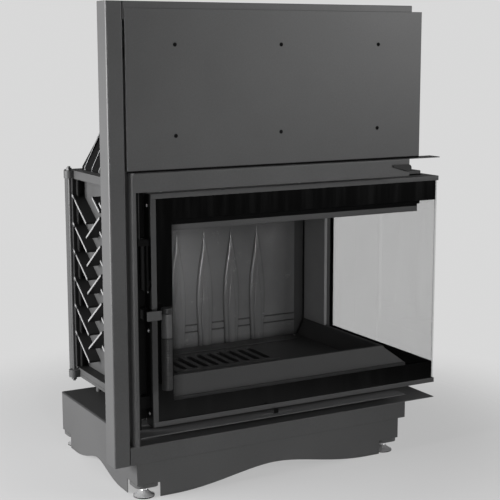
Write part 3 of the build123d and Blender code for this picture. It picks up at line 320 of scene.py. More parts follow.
@dataclass(frozen=True)
class StovePaint(Finish):
    """Heat-proof paint sprayed on sheet steel: an even grey with a fine dry grain and a faint orange peel."""

    shade: float = 0.086
    mottle: float = 0.10
    tone_ends: Pair = (0.3, 0.7)
    roughness: float = 0.44
    swing: Pair = (0.08, 0.06)
    gloss: float = 0.5
    patch: float = 0.16
    speck: float = 0.0033
    grain: float = 0.0011
    peel: float = 0.007
    depth: float = 0.00012
    strength: float = 0.7
    # Reach and depth of the shade painted into crevices.
    crevice: float = 0.012
    crevice_shade_depth: float = 0.55

    def unshaded_share(self, recipe: Recipe) -> Signal:
        """Share of the paint's lightness that the painted crevice shade leaves."""
        return recipe.crevice_shade(self.crevice, self.crevice_shade_depth)

    def shader(self, recipe: Recipe) -> Signal:
        """Grey and roughness from patches and specks, darker in crevices as painted shade, with relief from
        grain and peel.

        Args:
            recipe: the material's tree.

        Returns:
            The shader.
        """
        patches = recipe.cloud(self.patch, 2)
        specks = recipe.cloud(self.speck, 4)
        tone = (patches * 0.5 + specks * 0.5).step(*self.tone_ends)
        spread = (1 - self.mottle, 1 + self.mottle)
        height = recipe.cloud(self.grain, 2) * 0.6 + recipe.cloud(self.peel, 1) * 0.4
        return recipe.surface(
            Base_Color=recipe.grey(self.shade, spread, tone, self.unshaded_share(recipe)),
            Roughness=swung(self.roughness, self.swing, patches, specks),
            Specular_IOR_Level=self.gloss,
            Normal=recipe.relief(height, self.depth, self.strength),
        )


@dataclass(frozen=True)
class StilePaint(StovePaint):
    """Sheet paint with shade painted on the side past one place in X, where it faces into the dark guide
    channel.
    """

    side_place: float = -0.3487
    side_fade: float = 0.0004
    # Depth of the shade painted on that side.
    side_shade: float = 0.92

    def unshaded_share(self, recipe: Recipe) -> Signal:
        """Little on the side in the channel: painted shade."""
        open_side = recipe.axes()[0].step(self.side_place, self.side_place + self.side_fade)
        return super().unshaded_share(recipe) * (open_side * self.side_shade + (1 - self.side_shade))


@dataclass(frozen=True)
class CastPaint(Finish):
    """Painted grey iron: a sandy skin of small lumps with the odd pit."""

    shade: float = 0.075
    spread: Pair = (0.82, 1.16)
    roughness: float = 0.55
    swing: Pair = (0.14, 0.1)
    gloss: float = 0.4
    patch: float = 0.05
    lump: float = 0.0032
    sand: float = 0.0012
    pit_reach: float = 0.25
    depth: float = 0.0004
    strength: float = 0.6
    # Reach and depth of the shade painted into crevices.
    crevice: float = 0.02
    crevice_shade_depth: float = 0.6
    # Level and spread of the painted light that the kinds below add.
    rim: float = 0.0
    painted_light_spread: Pair = (0.85, 1.0)

    def painted_light_share(self, recipe: Recipe) -> Signal | None:
        """Share of the painted light colour; a plain casting has none."""
        return None

    def unshaded_share(self, recipe: Recipe) -> Signal:
        """Share of the skin's lightness that the painted crevice shade leaves."""
        return recipe.crevice_shade(self.crevice, self.crevice_shade_depth)

    def shader(self, recipe: Recipe) -> Signal:
        """Grey and roughness from soft patches and lumps, painted shade in crevices and painted light where a
        kind adds it, relief from lumps, sand and pits.

        Args:
            recipe: the material's tree.

        Returns:
            The shader.
        """
        lumps = recipe.cloud(self.lump, 3)
        sand = recipe.cloud(self.sand, 2)
        pits = recipe.cells(self.lump * 3).step(0.0, self.pit_reach)
        patches = recipe.cloud(self.patch, 3)
        height = lumps * 0.6 + sand * 0.25 + pits * 0.15
        tone = patches * 0.6 + lumps * 0.4
        skin = recipe.grey(self.shade, self.spread, tone, self.unshaded_share(recipe))
        # Painted light: highlights on fin and rib edges, a pool of light on the liner.
        painted_light_share = self.painted_light_share(recipe)
        if painted_light_share is not None:
            skin = recipe.blend(skin, recipe.grey(self.rim, self.painted_light_spread, lumps), painted_light_share)
        return recipe.surface(
            Base_Color=skin,
            Roughness=swung(self.roughness, self.swing, patches, lumps),
            Specular_IOR_Level=self.gloss,
            Normal=recipe.relief(height, self.depth, self.strength),
        )


@dataclass(frozen=True)
class FinPaint(CastPaint):
    """Painted casting with fins: a painted highlight on the outer edges between the flanges, and painted shade
    on the flanks.
    """

    edge_place: float = -0.342
    edge_half: float = 0.0012
    fins_middle: float = 0.4375
    fins_half: float = 0.255
    wall_place: float = -0.309
    fade: float = 0.001
    # Depth of the shade painted on the fins' flanks.
    flank_shade: float = 0.85

    def painted_light_share(self, recipe: Recipe) -> Signal:
        """1 on the outer faces of the fins, 0 elsewhere.

        Args:
            recipe: the material's tree.

        Returns:
            The share of the painted highlight colour.
        """
        across, _, level = recipe.axes()
        outer = 1 - (across - self.edge_place).size().step(self.edge_half, self.edge_half * 2)
        past_fins = (level - self.fins_middle).size().step(self.fins_half, self.fins_half + self.fade)
        return outer * (1 - past_fins)

    def unshaded_share(self, recipe: Recipe) -> Signal:
        """Little on the fins' flanks, which lie between the wall and the outer faces: painted shade.

        Args:
            recipe: the material's tree.

        Returns:
            The share of the skin's lightness that is left.
        """
        across = recipe.axes()[0]
        past_edge = across.step(self.edge_place + self.edge_half, self.edge_place + self.edge_half * 2)
        at_wall = across.step(self.wall_place - 2 * self.fade, self.wall_place - self.fade)
        return super().unshaded_share(recipe) * (1 - past_edge * (1 - at_wall) * self.flank_shade)


@dataclass(frozen=True)
class RibPaint(CastPaint):
    """Painted casting with evenly spaced ribs across Y, with a painted highlight along their edges over the
    plain skin.
    """

    first: float = 0.21775
    pitch: float = 0.0495
    rib_half: float = 0.0011
    rib_fade: float = 1.3

    def painted_light_share(self, recipe: Recipe) -> Signal:
        """1 within half a rib of the nearest rib's middle, from the distance to the nearest whole pitch.

        Args:
            recipe: the material's tree.

        Returns:
            The share of the painted highlight colour.
        """
        turns = (recipe.axes()[1] - self.first) / self.pitch
        nearest = turns.maths("ROUND", turns)
        distance = (turns - nearest).size() * self.pitch
        return 1 - distance.step(self.rib_half, self.rib_half * self.rib_fade)


@dataclass(frozen=True)
class PaintedGlowLiner(CastPaint):
    """Painted liner with a pool of light painted pale round one place, darker away from it."""

    glow_middle: Pair = (-0.12, 0.56)
    reach: float = 0.3
    height_share: float = 0.8
    rim: float = 0.4

    def painted_light_share(self, recipe: Recipe) -> Signal:
        """1 at the middle of the painted pool of light, falling to 0 at its reach, from the distance across X
        and Z.

        Args:
            recipe: the material's tree.

        Returns:
            The share of the painted light colour.
        """
        x, _, z = recipe.axes()
        x, z = x - self.glow_middle[0], (z - self.glow_middle[1]) * self.height_share
        return 1 - ((x * x + z * z) ** 0.5).step(0.0, self.reach)


@dataclass(frozen=True)
class SteelFinish(Finish):
    """Bare or plated steel: spangle cells for zinc, drawn lines for turned and ground parts."""

    shade: float = 0.55
    spread: Pair = (0.8, 1.1)
    tone_ends: Pair = (0.2, 0.7)
    roughness: float = 0.34
    swing: Pair = (0.12, 0.08)
    spangle: float = 0.006
    stain: float = 0.03
    scratch: float = 0.0012
    lines: Triple = (1, 1, 1)
    depth: float = 0.00003
    strength: float = 0.6

    def shader(self, recipe: Recipe) -> Signal:
        """Metal whose grey follows cells, scratches and stains, with relief from the drawn lines.

        Args:
            recipe: the material's tree.

        Returns:
            The shader.
        """
        cell = recipe.cells(self.spangle)
        scratches = recipe.cloud(self.scratch, 3, self.lines)
        stain = recipe.cloud(self.stain, 3)
        tone = (cell * 0.4 + scratches * 0.3 + stain * 0.3).step(*self.tone_ends)
        return recipe.surface(
            Base_Color=recipe.grey(self.shade, self.spread, tone),
            Metallic=1.0,
            Roughness=swung(self.roughness, self.swing, stain, scratches),
            Normal=recipe.relief(scratches, self.depth, self.strength),
        )


@dataclass(frozen=True)
class Chrome(Finish):
    """Polished chrome with a faint haze of wiping marks."""

    shade: float = 0.78
    spread: Pair = (0.88, 1.06)
    roughness: float = 0.2
    swing: Pair = (0.08, 0.04)
    metal: float = 0.62
    haze: float = 0.012
    wipe: float = 0.0008
    wipe_stretch: Triple = (1, 1, 0.1)
    depth: float = 0.00001
    strength: float = 0.3

    def shader(self, recipe: Recipe) -> Signal:
        """Part mirror, part milky plating, with a little haze that drifts over it.

        Args:
            recipe: the material's tree.

        Returns:
            The shader.
        """
        haze = recipe.cloud(self.haze, 3)
        marks = recipe.cloud(self.wipe, 2, self.wipe_stretch)
        return recipe.surface(
            Base_Color=recipe.grey(self.shade, self.spread, haze),
            Metallic=self.metal,
            Roughness=swung(self.roughness, self.swing, haze, marks),
            Normal=recipe.relief(marks, self.depth, self.strength),
        )


@dataclass(frozen=True)
class Enamel(Finish):
    """Black ceramic print fired on the glass: near black, glossy, with faint upright streaks of painted
    reflection.
    """

    shade: float = 0.003
    spread: Pair = (0.8, 1.8)
    roughness: float = 0.18
    haze: float = 0.05
    gloss: float = 0.25
    streak: float = 0.03
    streak_stretch: Triple = (1, 1, 0.09)
    streak_ends: Pair = (0.42, 0.72)

    def shader(self, recipe: Recipe) -> Signal:
        """Black lifted a little along upright streaks as painted reflection, and a gloss that follows them."""
        streaks = recipe.cloud(self.streak, 4, self.streak_stretch).step(*self.streak_ends)
        return recipe.surface(
            Base_Color=recipe.grey(self.shade, self.spread, streaks),
            Roughness=streaks * self.haze + self.roughness,
            Specular_IOR_Level=self.gloss,
        )


@dataclass(frozen=True)
class ClearGlass(Finish):
    """Thin clear ceramic pane: it passes light straight through and mirrors a little, more at a slant."""

    pass_colour: Colour = neutral(0.985)
    index: float = 1.42
    roughness: float = 0.02
    haze: float = 0.02
    mirror_share: float = 0.4
    wipe: float = 0.05
    wipe_stretch: Triple = (1, 1, 0.25)
    wipe_share: float = 0.2

    def shader(self, recipe: Recipe) -> Signal:
        """Transparent and mirror shaders mixed by Fresnel, with a haze of fine wiping marks.

        Args:
            recipe: the material's tree.

        Returns:
            The shader.
        """
        wipes = recipe.cloud(self.wipe, 3, self.wipe_stretch)
        through = recipe.add("ShaderNodeBsdfTransparent", {"Color": self.pass_colour})
        mirror = recipe.add("ShaderNodeBsdfGlossy", {"Roughness": wipes * self.haze + self.roughness})
        slant = recipe.add("ShaderNodeFresnel", {"IOR": self.index})
        share = slant * (wipes * self.wipe_share + (1 - self.wipe_share / 2)) * self.mirror_share
        return recipe.add("ShaderNodeMixShader", {0: share, 1: through, 2: mirror})


@dataclass(frozen=True)
class RopeFibre(Finish):
    """Plaited glass fibre of the door seal: matt grey yarns with a fine nap."""

    shade: float = 0.06
    spread: Pair = (0.5, 1.5)
    roughness: float = 0.85
    nap: float = 0.1
    gloss: float = 0.15
    yarn: float = 0.0009
    yarn_stretch: Triple = (1, 1, 0.5)
    tuft: float = 0.004
    depth: float = 0.0004
    strength: float = 0.8

    def shader(self, recipe: Recipe) -> Signal:
        """Grey yarns from fine noise drawn out along the rope, fully rough.

        Args:
            recipe: the material's tree.

        Returns:
            The shader.
        """
        yarn = recipe.cloud(self.yarn, 3, self.yarn_stretch)
        tufts = recipe.cloud(self.tuft, 2)
        return recipe.surface(
            Base_Color=recipe.grey(self.shade, self.spread, yarn * 0.6 + tufts * 0.4),
            Roughness=yarn * self.nap + self.roughness,
            Specular_IOR_Level=self.gloss,
            Normal=recipe.relief(yarn, self.depth, self.strength),
        )


@dataclass(frozen=True)
class Rubber(Finish):
    """Moulded black rubber or thermoset: dark, dull, finely pebbled."""

    shade: float = 0.014
    spread: Pair = (0.7, 1.8)
    roughness: float = 0.55
    gloss: float = 0.4
    pebble: float = 0.0014
    dust: float = 0.01
    dust_haze: float = 0.2
    depth: float = 0.00015
    strength: float = 0.6

    def shader(self, recipe: Recipe) -> Signal:
        """Near black with pebbles in its relief and dust in its colour.

        Args:
            recipe: the material's tree.

        Returns:
            The shader.
        """
        pebbles = recipe.cells(self.pebble)
        dust = recipe.cloud(self.dust, 4)
        return recipe.surface(
            Base_Color=recipe.grey(self.shade, self.spread, dust),
            Roughness=dust * self.dust_haze + (self.roughness - self.dust_haze / 2),
            Specular_IOR_Level=self.gloss,
            Normal=recipe.relief(pebbles, self.depth, self.strength),
        )


SHEET_PAINT = StovePaint("stove_paint_on_sheet")
SILL_PAINT = StovePaint("stove_paint_on_sill", shade=0.092, crevice_shade_depth=0.2)
# Darker than the sheet paint: painted shade on the base skirts and the bottom panel.
BASE_PAINT = StovePaint("stove_paint_on_base", shade=0.073)
# Dark: painted shade on the upward face of the base's top plate.
BASE_TOP_PAINT = StovePaint("stove_paint_on_base_top", shade=0.03, roughness=0.6, gloss=0.2)
DOOR_PAINT = StovePaint("stove_paint_on_door_frame", shade=0.078, roughness=0.46, patch=0.09)
LIP_PAINT = StovePaint("stove_paint_on_wash_strip", shade=0.1, roughness=0.5)
INNER_PAINT = StovePaint("stove_paint_inside", shade=0.06, roughness=0.6, gloss=0.25)
# Near black; on the parts that sit in gaps and recesses it is painted shade.
GAP_PAINT = StovePaint("stove_paint_in_the_gaps", shade=0.008, roughness=0.85, gloss=0.03)
STILE_PAINT = StilePaint("stove_paint_on_left_stile", shade=0.078, roughness=0.5, gloss=0.2)
# Near white: a painted glint on the small zinc heads.
HEAD_ZINC = StovePaint("zinc_heads_with_painted_glint", shade=0.85, roughness=0.4, crevice_shade_depth=0.0)
CAST_SHELL = CastPaint("painted_casting")
# Its rim is a painted highlight on the fins' outer edges.
FINNED_SHELL = FinPaint("painted_fin_casting", rim=0.34)
# Near black skin as painted shade between the ribs; its rim is a painted highlight on their edges.
RIBBED_SHELL = RibPaint("painted_ribbed_hood", shade=0.005, gloss=0.08, rim=0.4)
CAST_HEARTH = CastPaint("painted_hearth_casting", shade=0.055, roughness=0.58, lump=0.004, depth=0.0002)
# Its rim is a pool of light painted pale round one place at the upper left of the liner.
CAST_LINER = PaintedGlowLiner("fluted_liner_casting", shade=0.17, roughness=0.24, gloss=0.9, depth=0.00008,
                        crevice_shade_depth=0.9)
# Twice as light as the fluted liner: painted light on these side faces.
SIDE_LINER = CastPaint("smooth_liner_casting", shade=0.34, roughness=0.45, gloss=0.4, depth=0.0002)
RAW_IRON = CastPaint("raw_weight_iron", shade=0.05, roughness=0.7, gloss=0.25, lump=0.006, depth=0.0007)
ZINC = SteelFinish("zinc_plated_steel")
# Darker zinc, for the ash pan.
DARK_ZINC = SteelFinish("dark_zinc_steel", shade=0.13, roughness=0.6)
BRIGHT = SteelFinish("bright_turned_steel", shade=0.6, roughness=0.24, lines=(0.2, 0.2, 6))
# Near black as painted shade, so that the ropes stay as dark as the channel they run in.
WIRE = SteelFinish("dark_wire_strands", shade=0.05, roughness=0.5, spangle=0.002)
CHROME = Chrome("polished_chrome")
PRINT = Enamel("black_glass_print")
GLASS = ClearGlass("clear_fire_glass")
FIBRE = RopeFibre("plaited_fibre")
RUBBER = Rubber("black_rubber")
GRIP = Rubber("black_heat_proof_grip", shade=0.02, roughness=0.42)


# Surfaces


@dataclass(frozen=True)
class Surface:
    """Points and four-cornered faces of a surface; + joins two surfaces into one."""

    points: np.ndarray
    quads: np.ndarray

    def __add__(self, other: "Surface") -> "Surface":
        """Both surfaces in one."""
        quads = np.vstack([self.quads, other.quads + len(self.points)])
        return Surface(np.vstack([self.points, other.points]), quads)

    @staticmethod
    def grid(points: np.ndarray, closed: bool = False) -> "Surface":
        """Surface through a grid of points.

        Args:
            points: array of rows, columns and three coordinates.
            closed: joins the last column to the first.

        Returns:
            The surface, whose face at row i and column j has the corners (i, j), (i, j+1), (i+1, j+1) and
            (i+1, j).
        """
        rows, columns = points.shape[:2]
        number = np.arange(rows * columns).reshape(rows, columns)
        if closed:
            number = np.hstack([number, number[:, :1]])
        corners = [number[:-1, :-1], number[:-1, 1:], number[1:, 1:], number[1:, :-1]]
        return Surface(points.reshape(-1, 3), np.stack(corners, axis=-1).reshape(-1, 4))

    def placed(self, centre: Vector | tuple, axis: Axis = Axis.UP) -> "Surface":
        """The surface turned to an axis and moved so that its origin lies at centre."""
        return Surface(axis.turn(self.points) + np.array(tuple(centre)), self.quads)


def joined(parts: list[Surface]) -> Surface:
    """All surfaces of a list in one.

    Args:
        parts: the surfaces.

    Returns:
        The whole, in the order of the list.
    """
    whole = parts[0]
    for part in parts[1:]:
        whole = whole + part
    return whole


def round_angles(steps: int, first: float = 0.0) -> np.ndarray:
    """Even angles round a full turn, the first of them at this share of one step."""
    return (np.arange(steps) + first) * FULL_TURN / steps


def run_length(path: np.ndarray) -> np.ndarray:
    """Distance along a path at each of its points: the sum of the straight lines up to it."""
    return np.concatenate([[0], np.cumsum(np.linalg.norm(np.diff(path, axis=0), axis=1))])


def lathe(radii: np.ndarray | list, heights: np.ndarray | list, steps: int) -> Surface:
    """Turned shape about Z.

    A point at row i and angle a is (r cos a, r sin a, h), where r is row i's radius, which may differ from
    angle to angle, and h its height. Rows of radius 0 close the ends.

    Args:
        radii: one radius for each row, or a row of radii for each height.
        heights: one height for each row.
        steps: points round the axis.

    Returns:
        The closed surface.
    """
    angle = round_angles(steps)
    radius = np.array(radii, float)
    radius = np.broadcast_to(radius if radius.ndim == 2 else radius[:, None], (len(heights), steps))
    height = np.broadcast_to(np.array(heights, float)[:, None], radius.shape)
    return Surface.grid(np.stack([radius * np.cos(angle), radius * np.sin(angle), height], axis=-1), True)


def hexagon(flats: float, steps: int) -> np.ndarray:
    """Radius of a hexagon at each angle: half the flats over the cosine of the angle to the nearest flat."""
    sector = math.pi / 3
    return flats / 2 / np.cos((round_angles(steps) + sector / 2) % sector - sector / 2)


def tube(path: np.ndarray, side: Triple, radius: np.ndarray) -> Surface:
    """Round rope along a path that lies in one plane.

    A point at path row i and angle a is the path's point plus radius times (cos a of the plane's normal and
    sin a of the direction across the path in the plane). The ends are closed by rows of radius 0.

    Args:
        path: rows of three coordinates.
        side: normal of the path's plane.
        radius: array of rows and angles.

    Returns:
        The closed surface.
    """
    along = np.gradient(path, axis=0)
    along = along / np.linalg.norm(along, axis=1, keepdims=True)
    normal = np.array(side, float)
    across = np.cross(along, normal)
    angle = round_angles(radius.shape[1])
    ring = np.cos(angle)[None, :, None] * normal + np.sin(angle)[None, :, None] * across[:, None, :]
    body = path[:, None, :] + radius[:, :, None] * ring
    first = np.broadcast_to(path[0], body[:1].shape)
    last = np.broadcast_to(path[-1], body[:1].shape)
    return Surface.grid(np.concatenate([first, body, last]), True)


def slab(low: tuple, high: tuple) -> Surface:
    """Closed six-sided block between two corners, from a grid of four loops.

    Args:
        low: the corner with the lowest coordinates.
        high: the corner with the highest.

    Returns:
        The block: a loop of four corners at each end, and the ends' middles to close them.
    """
    x0, y0, z0 = low
    x1, y1, z1 = high
    loop = np.array([(x0, y0), (x1, y0), (x1, y1), (x0, y1)])
    middle = loop.mean(axis=0) + 0 * loop
    rows = [(middle, z0), (loop, z0), (loop, z1), (middle, z1)]
    return Surface.grid(np.stack([np.column_stack([xy, np.full(4, z)]) for xy, z in rows]), True)


# Making and dressing pieces


def linked(name: str, data: bpy.types.ID) -> bpy.types.Object:
    """New object of the scene, at the origin.

    Args:
        name: its name.
        data: the mesh, lamp or camera that it shows.

    Returns:
        The object.
    """
    thing = bpy.data.objects.new(name, data)
    bpy.context.scene.collection.objects.link(thing)
    return thing


def raw_mesh(name: str, surface: Surface) -> bpy.types.Mesh:
    """Mesh with a surface's points and faces.

    Args:
        name: its name.
        surface: the surface.

    Returns:
        The mesh.
    """
    mesh = bpy.data.meshes.new(name)
    mesh.from_pydata(surface.points.tolist(), [], surface.quads.tolist())
    return mesh


def make_piece(
    name: str,
    surface: Surface,
    body: str,
    finish: Finish,
    stands_for: tuple[str, ...] = (),
    crease: float = 35.0,
    rounding: float = 0.0,
) -> bpy.types.Object:
    """Makes one piece of the visual model.

    Args:
        name: the piece's name.
        surface: its shape, closed.
        body: CAD body that it rides on.
        finish: its finish.
        stands_for: CAD nodes that it replaces.
        crease: degrees past which an edge stays sharp.
        rounding: width of the rounding on its sharp edges, or 0 for none.

    Returns:
        The object, at the origin.
    """
    mesh = raw_mesh(name, surface)
    shape = bmesh.new()
    shape.from_mesh(mesh)
    bmesh.ops.remove_doubles(shape, verts=shape.verts, dist=DOUBLE_REACH)
    bmesh.ops.dissolve_degenerate(shape, dist=THINNEST_EDGE, edges=shape.edges)
    bmesh.ops.recalc_face_normals(shape, faces=shape.faces)
    for face in shape.faces:
        face.smooth = True
    limit = math.radians(crease)
    for edge in shape.edges:
        edge.smooth = not (len(edge.link_faces) == 2 and edge.calc_face_angle(0) > limit)
    shape.to_mesh(mesh)
    shape.free()
    mesh.materials.append(finish.material())
    piece = linked(name, mesh)
    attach(piece, body)
    if stands_for:
        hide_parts(*stands_for)
    if rounding:
        round_edges(piece, rounding)
    log.info("%s: %d faces on %s, finish %s", name, len(mesh.polygons), body, finish.name)
    return piece


def round_edges(piece: bpy.types.Object, width: float) -> None:
    """Rounds a piece's sharp edges, with shading that follows its flat faces.

    Args:
        piece: the object.
        width: width of the rounding.
    """
    rounding = piece.modifiers.new("rounded_edges", "BEVEL")
    rounding.width = width
    rounding.segments = 2
    rounding.limit_method = "ANGLE"
    rounding.angle_limit = SHARP_ANGLE
    shade = piece.modifiers.new("even_shading", "WEIGHTED_NORMAL")
    shade.keep_sharp = False


def dress(finish: Finish, edge: float, *nodes: str) -> None:
    """Gives CAD nodes their finish and, where edge is a width, rounds their sharp edges by it.

    Args:
        finish: their finish.
        edge: width of the rounding in metres, or 0 for none.
        *nodes: names of the CAD nodes.
    """
    for node in nodes:
        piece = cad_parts[node]
        piece.data.materials.clear()
        piece.data.materials.append(finish.material())
        if edge:
            weld = piece.modifiers.new("joined_corners", "WELD")
            weld.merge_threshold = CAD_DOUBLE_REACH
            flat = piece.modifiers.new("whole_faces", "DECIMATE")
            flat.decimate_type = "DISSOLVE"
            flat.angle_limit = FLAT_ANGLE
            round_edges(piece, edge)
        log.info("%s: finish %s, edges %.1f mm", node, finish.name, edge / MM)


def low_high(node: str) -> tuple[np.ndarray, np.ndarray]:
    """Lowest and highest corners of a CAD node as arrays."""
    low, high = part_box(node)
    return np.array(low), np.array(high)


def upright(node: str) -> tuple[tuple, float, float]:
    """Foot, radius and height of an upright round CAD node.

    Args:
        node: its name.

    Returns:
        The middle of its foot, half its width and its height.
    """
    low, high = low_high(node)
    foot = ((low[0] + high[0]) / 2, (low[1] + high[1]) / 2, low[2])
    return foot, (high[0] - low[0]) / 2, high[2] - low[2]


def solid_middles(node: str) -> np.ndarray:
    """Middles of a CAD node's separate solids, from the loose parts of its mesh.

    Args:
        node: its name.

    Returns:
        One row for each solid, in order of X, Y and Z.
    """
    shape = bmesh.new()
    shape.from_mesh(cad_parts[node].data)
    bmesh.ops.remove_doubles(shape, verts=shape.verts, dist=CAD_DOUBLE_REACH)
    left = set(shape.verts)
    middles = []
    while left:
        queue = [left.pop()]
        points = []
        while queue:
            corner = queue.pop()
            points.append(tuple(corner.co))
            for edge in corner.link_edges:
                other = edge.other_vert(corner)
                if other in left:
                    left.remove(other)
                    queue.append(other)
        points = np.array(points)
        middles.append((points.min(axis=0) + points.max(axis=0)) / 2)
    shape.free()
    return np.array(sorted(map(tuple, middles)))


@dataclass
class PaintedSteel:
    """Sheet steel of the base, the portal, the cover, the column and the upper beams."""

    sheet_edge: float = 0.9 * MM
    fold_edge: float = 1.6 * MM
    sill_edge: float = 0.3 * MM
    seam_front: float = 0.8 * MM
    seam_gap: float = 0.2 * MM

    def seam_shade(self) -> None:
        """Makes a near-black strip in the gap between the portal's band and the upper cover: painted shade in
        the seam.
        """
        low, high = low_high("upper_cover")
        band_low, band_high = low_high("portal_frame")
        face = band_low[1] - self.seam_gap
        strip = slab((low[0], face - self.seam_front, band_high[2] + self.seam_gap), (high[0], face, low[2]))
        make_piece("band_seam_shade_strip", strip, "casing", GAP_PAINT)

    def dress(self) -> None:
        """Paints the folded sheets and rounds their edges."""
        self.seam_shade()
        dress(SHEET_PAINT, self.fold_edge, "left_column", "upper_cover", "rear_post", "upper_frame",
              "side_outrigger")
        dress(SHEET_PAINT, self.sheet_edge, "portal_frame", "bottom_flange_plate", "top_side_shelf")
        dress(BASE_PAINT, self.fold_edge, "base_skirts")
        dress(BASE_PAINT, self.sheet_edge, "bottom_panel")
        dress(SILL_PAINT, self.sill_edge, "sill_ledge")
        dress(BASE_TOP_PAINT, 0, "base_top_plate")
        dress(DOOR_PAINT, 0, "foot_brackets")
        dress(RUBBER, self.sheet_edge, "band_buffer")
        dress(GAP_PAINT, self.sheet_edge, "air_slide")
        dress(ZINC, 0, "air_inlet_spigot")


@dataclass
class Castings:
    """Cast firebox, hearth and smoke hood."""

    plate_edge: float = 1.5 * MM
    fin_edge: float = 0.9 * MM

    def dress(self) -> None:
        """Gives the castings their painted skins."""
        dress(CAST_SHELL, self.plate_edge, "firebox_floor_plate", "firebox_top_plate", "firebox_right_wall",
              "firebox_back_wall")
        dress(FINNED_SHELL, self.fin_edge, "firebox_left_wall")
        dress(RIBBED_SHELL, self.fin_edge, "smoke_hood")
        dress(GAP_PAINT, self.fin_edge, "door_lintel")
        dress(INNER_PAINT, 0, "flue_collar")
        dress(CAST_HEARTH, self.plate_edge, "hearth_bed", "grate", "log_retainer")
        dress(SIDE_LINER, self.plate_edge, "side_liners")
        dress(GAP_PAINT, self.plate_edge, "deflector_plate")
        dress(DARK_ZINC, 0, "ash_pan")
        dress(DOOR_PAINT, 0, "tie_rods", "standoffs")


@dataclass
class BackLiner:
    """Fluted liner on the firebox's back wall: pointed flutes, each with a lower one on it, over a field."""

    field_depth: float = 9.0 * MM
    outer_rise: float = 7.0 * MM
    inner_rise: float = 2.6 * MM
    first_from_left: float = 255.2 * MM
    pitch: float = 84.5 * MM
    count: int = 4
    half_width: float = 25.5 * MM
    least_half: float = 0.3 * MM
    inner_share: float = 0.5
    inner_limit: float = 0.98
    tip_below_top: float = 93.0 * MM
    inner_drop: float = 118.0 * MM
    tip_power: float = 1.2
    widest_at: float = 0.6
    foot_share: float = 0.84
    full_share: float = 0.4
    flank_power: float = 2.4
    groove_heights: Pair = (44.0 * MM, 64.0 * MM)
    groove_half: float = 2.4 * MM
    groove_depth: float = 3.2 * MM
    right_gap: float = 38.5 * MM
    row_step: float = 3.0 * MM
    stretch_points: int = 7

    def half_at(self, down: np.ndarray, length: float, half: float) -> np.ndarray:
        """Half-width of a flute at a distance below its tip.

        It grows as a quarter sine to the tip's power until widest_at of the length, and then narrows as a
        half cosine to foot_share of its largest. Above the tip it stays at least_half.

        Args:
            down: distance below the tip.
            length: the flute's whole length.
            half: its largest half-width.

        Returns:
            The half-width at each height.
        """
        share = np.clip(down / length, 0, 1)
        grown = np.sin(np.clip(share / self.widest_at, 0, 1) * math.pi / 2) ** self.tip_power
        past = np.clip((share - self.widest_at) / (1 - self.widest_at), 0, 1)
        narrowed = 1 - (1 - self.foot_share) * (1 - np.cos(past * math.pi)) / 2
        return np.maximum(half * grown * narrowed, self.least_half)

    def flute(self, across: np.ndarray, half: np.ndarray, rise: float) -> np.ndarray:
        """Height of a flute over the field.

        The section is the square root of 1 - |across / half| to the flank's power, times the rise. The rise
        grows evenly from the tip until the flute is full_share of the liner's largest half-width wide.

        Args:
            across: distance from the flute's middle line, by height and column.
            half: its half-width at each height.
            rise: its full height.

        Returns:
            The height at each point.
        """
        section = np.sqrt(np.clip(1 - np.abs(across / half[:, None]) ** self.flank_power, 0, 1))
        swell = np.clip((half - self.least_half) / (self.half_width * self.full_share), 0, 1)
        return section * rise * swell[:, None]

    def offsets(self, outer: np.ndarray, inner: np.ndarray) -> np.ndarray:
        """Columns of points over one pitch, drawn together at the edges of the outer and the inner flute.

        Each stretch between two edges is divided by the square of an even share, so that its points crowd at
        the edge where the flank is steep.

        Args:
            outer: the outer flute's half-width for each row.
            inner: the inner flute's half-width for each row.

        Returns:
            Distances from the flute's middle line, one row for each height.
        """
        share = np.linspace(0, 1, self.stretch_points)[None, :]
        edge = outer[:, None]
        core = np.minimum(inner, outer * self.inner_limit)[:, None]
        field = edge + (self.pitch / 2 - edge) * share**2
        flank = edge - (edge - core) * share**2
        crown = core - core * share**2
        half = np.hstack([crown[:, ::-1], flank[:, -2::-1], field[:, 1:]])
        return np.hstack([-half[:, :0:-1], half])

    def grooves(self, up: np.ndarray) -> np.ndarray:
        """Depth of the V-shaped grooves that are ruled across the field, at each height above its foot."""
        off = np.abs(up[:, None] - np.array(self.groove_heights)[None, :])
        return np.clip(1 - off / self.groove_half, 0, 1).sum(axis=1)[:, None] * self.groove_depth

    def build(self) -> None:
        """Makes the liner: a front that is pressed out along the flutes, a flat back and four edges."""
        low, high = low_high("back_liner")
        levels = [low[2] + level + side * self.groove_half for level in self.groove_heights
                  for side in (-1, 0, 1)]
        heights = np.unique(np.concatenate([np.arange(low[2], high[2], self.row_step), levels, [high[2]]]))
        tip = high[2] - self.tip_below_top
        length = tip - low[2]
        outer = self.half_at(tip - heights, length, self.half_width)
        inner = self.half_at(tip - self.inner_drop - heights, length - self.inner_drop,
                             self.half_width * self.inner_share)
        across = self.offsets(outer, inner)
        rise = self.flute(across, outer, self.outer_rise) + self.flute(across, inner, self.inner_rise)
        first = low[0] + self.first_from_left
        edge = np.ones((len(heights), 1))
        lines = [across + first + index * self.pitch for index in range(self.count)]
        x = np.hstack([low[0] * edge, *lines, (high[0] - self.right_gap) * edge])
        rise = np.hstack([0 * edge, *[rise] * self.count, 0 * edge])
        rise = rise - np.where(rise > 0, 0, self.grooves(heights - low[2]))
        front = np.stack([x, low[1] + self.field_depth - rise, heights[:, None] + 0 * x], axis=-1)
        back = front.copy()
        back[:, :, 1] = high[1]
        sheets = [
            np.concatenate([back[:1], front, back[-1:]]),
            np.stack([back[:, 0], front[:, 0]], axis=1),
            np.stack([front[:, -1], back[:, -1]], axis=1),
            back[:, ::-1],
        ]
        surface = joined([Surface.grid(sheet) for sheet in sheets])
        make_piece("fluted_back_liner", surface, "casing", CAST_LINER, ("back_liner",))


